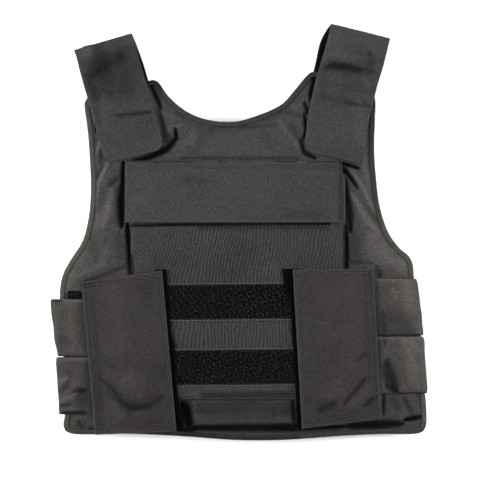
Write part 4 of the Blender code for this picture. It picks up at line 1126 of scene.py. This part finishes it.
def add_loop_tapes():
    """The two chest tapes with their stitches and pale selvedges, and the two at the sides."""
    rows, selvedges = [], []
    for seed, (name, centre) in enumerate(TAPE_MIDDLES.items()):
        def plan_of(u, v, centre=centre):
            """Along the tape, which rises to the right."""
            x = TAPE_X[0] + u
            return x, centre - TAPE_HEIGHT / 2 + v + TAPE_RISE * x

        us, vs = grid_lines("tape", TAPE_X[1] - TAPE_X[0], TAPE_HEIGHT, TAPE_GROUND)
        shown = (PILE_SPAN, (PILE_EDGE, TAPE_HEIGHT - PILE_EDGE))
        add_loop_tape(f"loop_tape_{name}", f"loop_strip_{name}", plan_of, tape_low, us, vs, shown, 70 + seed)
        for beside in (-SELVEDGE_OUT, TAPE_HEIGHT + SELVEDGE_OUT):
            selvedges.append(strip_row(plan_of, tape_low, beside, STRIP_LIFT))
        for inside in (TAPE_STITCHES_IN, TAPE_HEIGHT - TAPE_STITCHES_IN):
            rows.append(strip_row(plan_of, tape_low, inside, TAPE_GROUND + STRIP_LIFT))
    for name, tape in SIDE_TAPES.items():
        side = math.copysign(1.0, tape["inner"])

        def plan_of(u, v, side=side, tape=tape):
            """Between the panel's edge and the pocket, level."""
            y = tape["y"][0] + v
            outer = side_x(FRONT_OUTLINE, side, y) - side * tape["edge"]
            left, right = (outer, tape["inner"]) if side < 0 else (tape["inner"], outer)
            return left + (right - left) * u / SIDE_TAPE_LENGTH, y

        us, vs = grid_lines("tape", SIDE_TAPE_LENGTH, TAPE_HEIGHT, TAPE_GROUND)
        shown = (SIDE_PILE_X[name], SIDE_PILE_Y)
        names = f"side_tape_{name}", f"side_loop_{name}"
        add_loop_tape(*names, plan_of, front_seat, us, vs, shown, 80 + int(side))
    add_stitches("loop_tape_stitches", rows, 0.0022, 0.0010, 0.00028)
    add_stitches("loop_tape_selvedges", selvedges, 0.0060, 0.0001, 0.00060, "selvedge")


def flap_low(side, x, y):
    """Height of a side flap's underside: on the pocket's tapes, down a ramp onto the bands' ends."""
    start, end = FLAP_RAMP[side]
    ramp = rise(np.abs(x), start, end - start)
    on_tapes = tape_face(x, y) + GAP
    on_bands = panel_face(x, y) + BAND_LIFT + BAND_THICK + 2.0 * GAP
    sag = FLAP_SAG * rise(y, FLAP_SAG_Y[0], FLAP_SAG_Y[1] - FLAP_SAG_Y[0])
    return on_tapes + (on_bands - on_tapes) * ramp - sag * (1.0 - ramp)


FLAP_FOLDS = {
    "left": [
        (-192, -183, -170, -193, 3, -1.2), (-193, -208, -179, -221, 4.6, -1.6),
        (-179, -221, -165, -241, 6.4, -2), (-165, -241, -153, -249, 7, -2.2),
        (-153, -249, -126, -246, 7, -2.2), (-126, -246, -106, -231, 6, -1.5),
        (-150, -200, -140, -236, 16, 1.8), (-178, -240, -160, -264, 8, 1.2),
        (-118, -90, -116, -200, 12, 0.8), (-205, -90, -198, -200, 9, 0.7),
        (-150, -258, -124, -258, 6, 1.4),
    ],
    "right": [
        (162, -183, 179, -172, 3.4, -1.4), (180, -205, 148, -243, 4.4, -2.3),
        (186, -216, 156, -250, 5, 1.2), (194, -233, 173, -247, 3.6, -2),
        (112, -252, 138, -240, 6.4, -2.2), (140, -210, 128, -238, 10, 1.4),
        (120, -80, 118, -180, 14, 0.8), (96, -100, 98, -220, 7, 0.6),
    ],
}
# Along the flaps: broad soft tones, painted shade in the folds at the foot, and darker edges that lie on the
# bands.
FLAP_SHADES = {
    "left": [
        (-122, -80, -110, -235, 28, -170), (-180, -80, -175, -155, 22, 50),
        (-155, -238, -112, -270, 17, -150), (-219, -76, -160, -58, 5, -300),
        (-208, -96, -196, -271, 7, -200),
    ],
    "right": [
        (158, -75, 160, -225, 20, 120), (104, -95, 109, -237, 14, -60), (112, -146, 128, -170, 11, -80),
    ],
}
# A side flap's seams: how far in, how far on the second of the outer pair is, and where they end. The rows
# across it lie at these distances from its foot, and the last from its top. Then the painted shade in the
# gutters.
FLAP_SEAM, FLAP_PAIR, SEAM_END, FOOT_ROWS, TOP_ROW = 0.0045, 0.0095, 0.004, (0.0045, 0.0110), 0.0060
OUTER_GUTTER, OTHER_GUTTER, FLAP_RIM, FLAP_RIM_TONE = -0.50, -0.30, 0.0022, 0.25
# How far the inner edge lifts, from which share of the width, and how far down folds may press the cloth.
FLAP_LIFT, LIFT_FROM, FLAP_PRESS, FLAP_FADE = 0.0022, 0.80, 0.0012, 0.010


def add_side_flap(side):
    """A side flap over its four corners, blended from them, its rim rounded and its inner edge lifting."""
    outer_top, inner_top, inner_foot, outer_foot = np.array(FLAP_CORNERS[side])
    ends = [(outer_foot, outer_top), (inner_foot, inner_top)]
    (low_left, high_left), (low_right, high_right) = ends if side == "left" else ends[::-1]
    width, height = np.linalg.norm(high_right - high_left), np.linalg.norm(high_left - low_left)
    us, vs = grid_lines("flap", width, height, FLAP_THICK)
    u, v = (us / us[-1])[:, None, None], (vs / vs[-1])[None, :, None]
    plan = (1 - v) * ((1 - u) * low_left + u * low_right) + v * ((1 - u) * high_left + u * high_right)
    x, y = plan[..., 0], plan[..., 1]
    free = (u if side == "left" else 1.0 - u)[..., 0] + 0 * v[..., 0]
    lift = FLAP_LIFT * rise(free, LIFT_FROM, 1.0 - LIFT_FROM) + GAP
    middle = np.dstack([x, y, flap_low(side, x, y) + FLAP_THICK / 2 + lift])
    inwards = rim_distance(us, vs)
    folds = relief(x, y, FLAP_FOLDS[side])
    waves = folds + uneven("flap", x, y, len(side)) + uneven("flap_fine", x, y)
    waves = np.maximum(waves * smoothstep(inwards / FLAP_FADE), -lift - FLAP_PRESS)
    middle = middle + waves[..., None] * grid_normals(middle)
    m, end, w, h = FLAP_SEAM, SEAM_END, us[-1], vs[-1]
    upright = [m, m + FLAP_PAIR, w - m] if side == "left" else [w - m, w - m - FLAP_PAIR, m]
    lines = [((at, end), (at, h - end)) for at in upright]
    lines += [((end, at), (w - end, at)) for at in (*FOOT_ROWS, h - TOP_ROW)]
    # Painted shade and highlight of the folds, the flap's shades, and painted shade in the seam gutters.
    tone = painted_fold_shading(folds) + relief(x, y, FLAP_SHADES[side], False, 4)
    tone += painted_seam_shade(us, vs, lines[:2], OUTER_GUTTER) + painted_seam_shade(us, vs, lines[2:], OTHER_GUTTER)
    tone += FLAP_RIM_TONE * np.clip(1.0 - inwards / FLAP_RIM, 0.0, 1.0)
    cloth_piece(
        f"{side}_flap_cloth", "flap", middle, us, vs, FLAP_THICK,
        f"side_flap_{side}", tone=tone)
    sew(f"{side}_flap_stitches", middle, us, vs, FLAP_THICK / 2, lines)
    add_hook_strip(side, inner_top, inner_foot)


# How far the black hook strip stands out beyond a flap's inner edge, from its top to its foot. It is partly
# hook tape and partly a dark sheet laid where the gap beside the edge lies in shadow, a painted shadow.
HOOK_REACH = {
    "left": [(0.0, 0.0060), (0.30, 0.0050), (0.40, 0.0050), (0.47, 0.0080), (0.56, 0.0060), (0.74, 0.0060),
             (0.86, 0.0080), (1.0, 0.0125)],
    "right": [(0.0, 0.0150), (0.10, 0.0130), (0.20, 0.0060), (0.60, 0.0055), (0.80, 0.0060), (1.0, 0.0070)],
}
# How far it goes under the flap, its thickness, its painted shadow tone, a width that nothing uses and its
# grid's. Then how far it lies off what is under it, and how much longer it is than the flap and begins above
# it, as shares.
HOOK_UNDER, HOOK_THICK, HOOK_SHADOW_TONE, HOOK_WIDTH, HOOK_GRID = 0.009, 0.0010, -0.5, 0.0170, 0.0165
HOOK_LIFT, HOOK_LONGER, HOOK_ABOVE = 0.0002, 1.008, 0.006


def add_hook_strip(side, top, foot):
    """Hook tape sewn under a flap's inner edge: a flat strip along the edge, from 9 mm under it to its reach
    beyond it, lying on what the flap lies on. Darkened and widened to fill the gap beside the edge, it is
    partly hook tape and partly a painted shadow."""
    length = float(np.linalg.norm(top - foot))
    us, vs = grid_lines("hook", HOOK_GRID, length, HOOK_THICK)
    share = np.linspace(0.0, 1.0, 50)
    reach = np.interp(vs / length, share, np.interp(share, *zip(*HOOK_REACH[side])))
    offset = (us / us[-1])[:, None] * (HOOK_UNDER + reach[None, :]) - HOOK_UNDER
    if side == "right":
        offset = -offset[::-1]
    edge = top + (foot - top) * (vs / length * HOOK_LONGER - HOOK_ABOVE)[:, None]
    x, y = edge[None, :, 0] + offset, edge[None, :, 1] + 0 * offset
    middle = np.dstack([x, y, flap_low(side, x, y) + HOOK_THICK / 2 + HOOK_LIFT])
    if grid_normals(middle)[5, 5, 2] < 0:
        middle = middle[:, ::-1]
    cloth_piece(
        f"{side}_hook_tape_and_gap_shadow", "tape", middle, us, vs, HOOK_THICK,
        tone=HOOK_SHADOW_TONE)


BAND_FOLDS = {
    "left_upper": [
        (-262, -112, -240, -106, 5, 1), (-258, -150, -232, -160, 6, -1), (-236, -120, -232, -165, 6, 0.8),
    ],
    "left_lower": [
        (-256, -226, -240, -214, 4, -1.4), (-256, -218, -242, -208, 3.6, 1.8),
        (-252, -242, -240, -234, 4, 2.2), (-240, -234, -226, -228, 4, 1.6),
        (-234, -226, -214, -224, 3.4, -2), (-252, -248, -236, -244, 3, -1.4),
        (-250, -254, -232, -252, 4, 1.2),
    ],
    "right_upper": [
        (206, -119, 256, -118, 6, -0.7), (206, -136, 256, -134, 6, 0.9),
    ],
    "right_lower": [
        (208, -184, 214, -204, 8, -1.2), (214, -204, 224, -226, 8, -1.6), (238, -170, 244, -214, 9, 1.2),
    ],
}
# The bands' painted shade: their shadows at the flaps, under folds and between the two; and the pale outer
# parts, a painted highlight where they face the side lamps.
BAND_SHADES = {
    "left": [
        (-244, -198, -213, -206, 11, -250), (-264, -102, -258, -153, 7, 250),
        (-218, -96, -215, -170, 13, -400), (-213, -178, -208, -254, 11, -550),
        (-264, -97, -250, -98, 2.5, -900), (-258, -177, -208, -177, 2.5, -450),
        (-256, -219, -242, -207, 3.5, 450), (-254, -228, -236, -215, 3, -300),
        (-251, -242, -229, -230, 4, 450), (-240, -229, -212, -224, 5, -540),
        (-224, -222, -218, -248, 22, -540), (-240, -185, -215, -188, 9, -250),
        (-253, -247, -236, -243, 2.5, -400), (-250, -257, -213, -255, 3, -950),
        (-232, -262, -210, -268, 6, -540),
    ],
    "right": [
        (258, -68, 262, -225, 7, 450), (203, -112, 206, -158, 7, -550), (206, -216, 226, -227, 5, -700),
        (205, -185, 210, -218, 7, -500), (194, -68, 198, -223, 5, -500), (202, -232, 261, -229, 3, -500),
        (208, -147, 256, -146, 2.5, -700), (236, -68, 250, -119, 14, 550), (216, -79, 222, -96, 8, 200),
        (233, -156, 256, -172, 13, 550), (242, -175, 256, -220, 11, 400), (205, -113, 216, -108, 6, -250),
        (205, -124, 242, -134, 10, -350), (205, -139, 247, -140, 4, -300),
        (208, -181, 222, -226, 8, -550),
    ],
}
# A band's length on its grid and a flat length that nothing uses, and the distance from its ends in which
# folds fade in. Then how far folds stand out and may press in, its lower edge's painted shadow line and its
# upper edge's pale one, and how far up a face has to look to have folds.
BAND_REACH, BAND_FLAT, BAND_FADE, BAND_OUT, BAND_PRESS = 0.150, 0.135, 0.008, 0.0009, -0.0016
BAND_SHADOW, BAND_SHADOW_HALF, BAND_PALE, BAND_PALE_HALF = -0.70, 0.0022, 0.45, 0.0035
BAND_UPWARD = (0.35, 0.4)


def quarter_arc(centre, reach, first, steps=7):
    """A quarter of an ellipse: the centre plus the reaches times the cosine and the sine."""
    angle = np.radians(first + np.linspace(0.0, 90.0, steps + 1))
    return np.column_stack([centre[0] + reach[0] * np.cos(angle), centre[1] + reach[1] * np.sin(angle)])


def resample(path, steps):
    """A path cut into even steps of its length, after two rounds of cutting its corners."""
    for _ in range(2):
        cut = np.empty((2 * len(path) - 2, path.shape[1]))
        cut[0::2] = 0.75 * path[:-1] + 0.25 * path[1:]
        cut[1::2] = 0.25 * path[:-1] + 0.75 * path[1:]
        path = np.vstack([path[:1], cut, path[-1:]])
    reach = reach_along(path)
    return np.column_stack([np.interp(steps * reach[-1], reach, line) for line in path.T])


def band_path(side, y, off, end):
    """A band's middle line at one y, as x outwards and z: from under the back panel's edge round the front
    panel's edge, in two quarter rounds, then up the padding's shoulder and in to its end."""
    middle = BAND_THICK / 2.0
    edge = side * side_x(FRONT_OUTLINE, side, y)
    start = side * side_x(BACK_OUTLINE, side, y) - BAND_TUCK
    outer = edge + off - middle
    over = np.array([edge, edge - RIM_WIDTH, edge - SEAT_WIDTH, end])
    seat = front_seat(side * over, np.full(len(over), y)) + BAND_LIFT + middle
    return np.vstack([
        [(start, middle)],
        quarter_arc((outer - BAND_TURN, middle + BAND_TURN), (BAND_TURN, BAND_TURN), -90.0),
        quarter_arc((edge, seat[0] - BAND_TURN), (outer - edge, BAND_TURN), 0.0),
        np.column_stack([over, seat])[1:],
    ])


def add_band(band):
    """An elastic band: under the back panel's edge, round the front panel's edge and in to the flap."""
    side, name, height = band["side"], band["name"], band["top"] - band["bottom"]
    word = "right" if side > 0 else "left"
    us, vs = grid_lines("band", BAND_REACH, height, BAND_THICK)
    (top_x, top_y), (foot_x, foot_y) = FLAP_CORNERS[word][0], FLAP_CORNERS[word][3]
    rows = []
    for y in band["bottom"] + vs:
        off = band["off"][0] + (band["off"][1] - band["off"][0]) * (y - band["bottom"]) / height
        end = side * np.interp(y, [foot_y, top_y], [foot_x, top_x]) - BAND_UNDER_FLAP
        path = band_path(side, y, off, end)
        x, z = resample(path[::-1] if side > 0 else path, us / us[-1]).T
        rows.append(np.column_stack([side * x, np.full(len(x), y), z]))
    points = np.array(rows).transpose(1, 0, 2)
    x, y, z = (points[..., k] for k in range(3))
    top = rise(grid_normals(points)[..., 2], *BAND_UPWARD)
    folds = relief(x, y, BAND_FOLDS[name])
    waves = np.maximum((folds + uneven("band", x, y, len(name) + side)) * top, BAND_PRESS) + BAND_OUT
    waves = waves + uneven("band_side", z, y) * (1.0 - top)
    raised = waves * smoothstep(rim_distance(us, vs) / BAND_FADE) * smoothstep(z / BAND_FADE)
    tone = painted_fold_shading(folds, BAND_DEEP) + relief(x, y, BAND_SHADES[word], firm=4)
    # A painted shadow line along the band's lower edge, and a pale line along its upper edge.
    tone += BAND_SHADOW * np.exp(-((vs / BAND_SHADOW_HALF) ** 2))
    tone += BAND_PALE * np.exp(-(((vs[-1] - vs) / BAND_PALE_HALF) ** 2))
    cloth_piece(
        f"{name}_band", "elastic", points, us, vs, BAND_THICK,
        f"side_band_{name}", raised, tone)


STRAP_FOLDS = {
    "left": [
        (-172, 163, -124, 168, 2.8, -1.7), (-182, 173, -121, 176, 3.4, 0.7),
        (-150, 262, -190, 236, 12, -1.2), (-190, 236, -214, 220, 12, -1.6), (-224, 254, -208, 250, 12, 2),
        (-150, 236, -160, 190, 14, 1), (-190, 205, -160, 200, 7, 0.8), (-160, 160, -140, 120, 20, 0.7),
    ],
    "right": [
        (118, 228, 132, 236, 4.6, -1.6), (132, 236, 156, 232, 6.8, -2.5), (156, 232, 174, 227, 4.6, -2),
        (126, 250, 170, 246, 7, 1.8), (184, 252, 190, 236, 5, -2.4), (118, 190, 172, 179, 4, -1.6),
        (120, 199, 172, 189, 5, 0.9), (130, 216, 166, 214, 9, 1), (140, 160, 136, 122, 22, 0.8),
        (176, 210, 180, 170, 6, -0.9),
    ],
}
# The straps' painted shade and highlight: their dark and pale parts, the shadows beside their folds, and the
# creases across them.
STRAP_SHADES = {
    "left": [
        (-198, 255, -182, 195, 30, -470), (-170, 250, -155, 195, 26, -470),
        (-213, 215, -199, 186, 11, -550), (-146, 263, -131, 215, 6, -550),
        (-179, 169, -126, 130, 20, -130), (-219, 234, -143, 271, 15, -180),
        (-202, 217, -131, 234, 22, -300), (-210, 217, -178, 240, 10, -520),
        (-222, 229, -208, 198, 4, -450), (-191, 198, -126, 203, 22, -200),
        (-205, 186, -196, 147, 5, -280), (-165, 285, -151, 265, 7, 150), (-219, 251, -208, 257, 8, 250),
        (-182, 163, -123, 169, 3, -400),
    ],
    "right": [
        (123, 233, 191, 226, 9, -450), (117, 240, 117, 186, 7, -200), (128, 229, 188, 234, 10, -250),
        (151, 257, 188, 251, 10, -150), (167, 186, 174, 123, 14, 250), (179, 212, 179, 186, 8, 300),
        (137, 147, 143, 116, 20, 100), (150, 181, 188, 177, 3, -350),
    ],
}
# A strap's rounded corners, and its stitches: how far in, where they turn at its end and how far up they go.
CORNER_RADIUS, STRAP_INSET, STRAP_TURN, STRAP_SEAM = 0.013, 0.0042, 0.0150, 0.080
# How far its outer face stands out, the distance in which folds fade in, and the painted shade of its
# gutters and of what faces down. Then how far up a face has to look to have folds.
STRAP_OUT, STRAP_EDGE_OUT, STRAP_FADE, STRAP_GUTTER, UNDER_SHADE = 0.0012, 0.0004, 0.009, -0.20, -0.94
STRAP_UPWARD = (0.2, 0.4)


def add_strap(side):
    """A shoulder strap, from its end on the chest, whose corners are quarter circles, back over its fold
    and under the back tab: straight across its path, which turns in plan."""
    path = smooth_line(np.array(STRAPS[side])[::-1], 24)
    reach = reach_along(path[:, :3])
    us, vs = grid_lines("strap", STRAP_WIDTH, reach[-1], STRAP_THICK)
    beside = np.clip(CORNER_RADIUS - np.minimum(us, us[-1] - us), 0.0, None)
    cut = CORNER_RADIUS - np.sqrt(np.clip(CORNER_RADIUS**2 - beside**2, 0.0, None))
    at = cut[:, None] + (reach[-1] - cut[:, None]) * (vs / vs[-1])[None, :]
    x0, y0, z0, turn, on = (np.interp(at, reach, line) for line in path.T)
    across = (us - STRAP_WIDTH / 2)[:, None]
    x, y = x0 + np.cos(np.radians(turn)) * across, y0 + np.sin(np.radians(turn)) * across
    seat = panel_face(x, y) + GAP + STRAP_THICK / 2
    middle = np.dstack([x, y, z0 + (seat - z0) * smoothstep(on)])
    top = rise(grid_normals(middle)[..., 2], *STRAP_UPWARD)
    folds = relief(x, y, STRAP_FOLDS[side])
    waves = folds + uneven("strap", x, y, len(side)) + STRAP_OUT
    raised = waves * top * smoothstep(rim_distance(us, vs) / STRAP_FADE) + STRAP_EDGE_OUT * top
    m, t, w = STRAP_INSET, STRAP_TURN, us[-1]
    lines = [((m, t), (m, STRAP_SEAM)), ((w - m, t), (w - m, STRAP_SEAM)), ((t, m), (w - t, m)),
             ((m, t), (t, m)), ((w - t, m), (w - m, t))]
    # Painted shade and highlight of folds and of the strap's shades, painted shade in its seam gutters and
    # on faces that look down.
    tone = painted_fold_shading(folds, STRAP_DEEP) + relief(x, y, STRAP_SHADES[side], firm=4)
    tone += painted_seam_shade(us, vs, lines, STRAP_GUTTER) + UNDER_SHADE * (1.0 - top)
    cloth_piece(
        f"{side}_strap_cloth", "strap", middle, us, vs, STRAP_THICK,
        f"shoulder_strap_{side}", raised, tone)
    sew(f"{side}_strap_stitches", middle, us, vs, STRAP_THICK / 2 + raised[..., None], lines)


# Each lamp's place, its width and height, and its power in watts. All of them face the origin.
LAMPS = {
    "lamp_head": ((-0.30, 1.9, 1.25), (1.6, 0.6), 50.0), "lamp_foot": ((0.20, -1.9, 1.25), (1.6, 0.6), 26.0),
    "lamp_left": ((-1.9, 0.0, 1.15), (0.6, 1.6), 92.0), "lamp_right": ((1.9, 0.1, 1.15), (0.6, 1.6), 70.0),
}
FLOOR_HALF, FLOOR_COLOUR = 6.0, (0.90, 0.90, 0.90, 1.0)
AIR_COLOUR, AIR_STRENGTH = (1.0, 1.0, 1.0, 1.0), 0.30
# The camera's place and its sensor in millimetres. This far away from it, it sees this width.
CAMERA_PLACE, SENSOR, AWAY, SEEN_WIDTH = (0.0016, -0.0119, 5.0), 36.0, 4.96, 0.6778


def add_lamp(name, spot, size, power):
    """A soft lamp, tilted from straight down and turned until it faces the origin."""
    data = bpy.data.lights.new(name, "AREA")
    data.shape, data.size, data.size_y, data.energy = "RECTANGLE", *size, power
    lamp = bpy.data.objects.new(name, data)
    lamp.location = spot
    x, y, z = spot
    lamp.rotation_euler = (math.atan2(math.hypot(x, y), z), 0.0, math.atan2(-y, -x) - math.pi / 2)
    bpy.context.scene.collection.objects.link(lamp)


def add_studio():
    """A plain pale floor, soft lamps above and at both sides, and the camera straight above the vest."""
    mesh = bpy.data.meshes.new("studio_floor")
    corners = [(x * FLOOR_HALF, y * FLOOR_HALF, 0.0) for x, y in ((-1, -1), (1, -1), (1, 1), (-1, 1))]
    mesh.from_pydata(corners, [], [(0, 1, 2, 3)])
    material = bpy.data.materials.new("pale_floor")
    material.use_nodes = True
    shader = material.node_tree.nodes["Principled BSDF"].inputs
    for label, value in (("Base Color", FLOOR_COLOUR), ("Roughness", 0.9), ("Specular IOR Level", 0.0)):
        shader[label].default_value = value
    mesh.materials.append(material)
    floor = bpy.data.objects.new("studio_floor", mesh)
    scene = bpy.context.scene
    scene.collection.objects.link(floor)
    scene.world = bpy.data.worlds.new("studio_air")
    scene.world.use_nodes = True
    air = scene.world.node_tree.nodes["Background"].inputs
    air["Color"].default_value, air["Strength"].default_value = AIR_COLOUR, AIR_STRENGTH
    for name, lamp in LAMPS.items():
        add_lamp(name, *lamp)
    data = bpy.data.cameras.new("camera")
    data.sensor_width, data.clip_end, data.lens = SENSOR, 50.0, SENSOR * AWAY / SEEN_WIDTH
    camera = bpy.data.objects.new("camera", data)
    camera.location = CAMERA_PLACE
    scene.collection.objects.link(camera)
    scene.camera = camera
    scene.view_settings.view_transform, scene.view_settings.look = "Standard", "None"


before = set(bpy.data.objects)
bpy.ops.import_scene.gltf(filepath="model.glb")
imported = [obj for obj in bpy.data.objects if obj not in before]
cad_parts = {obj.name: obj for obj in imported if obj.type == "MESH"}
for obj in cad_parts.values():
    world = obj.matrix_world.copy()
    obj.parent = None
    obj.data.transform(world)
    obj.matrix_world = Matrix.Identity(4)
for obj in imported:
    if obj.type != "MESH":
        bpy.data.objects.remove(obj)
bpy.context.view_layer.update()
add_studio()
add_panels()
add_bindings()
add_pocket()
add_cover()
add_loop_tapes()
for flap in FLAP_CORNERS:
    add_side_flap(flap)
for side_band in BANDS:
    add_band(side_band)
for strap in STRAPS:
    add_strap(strap)
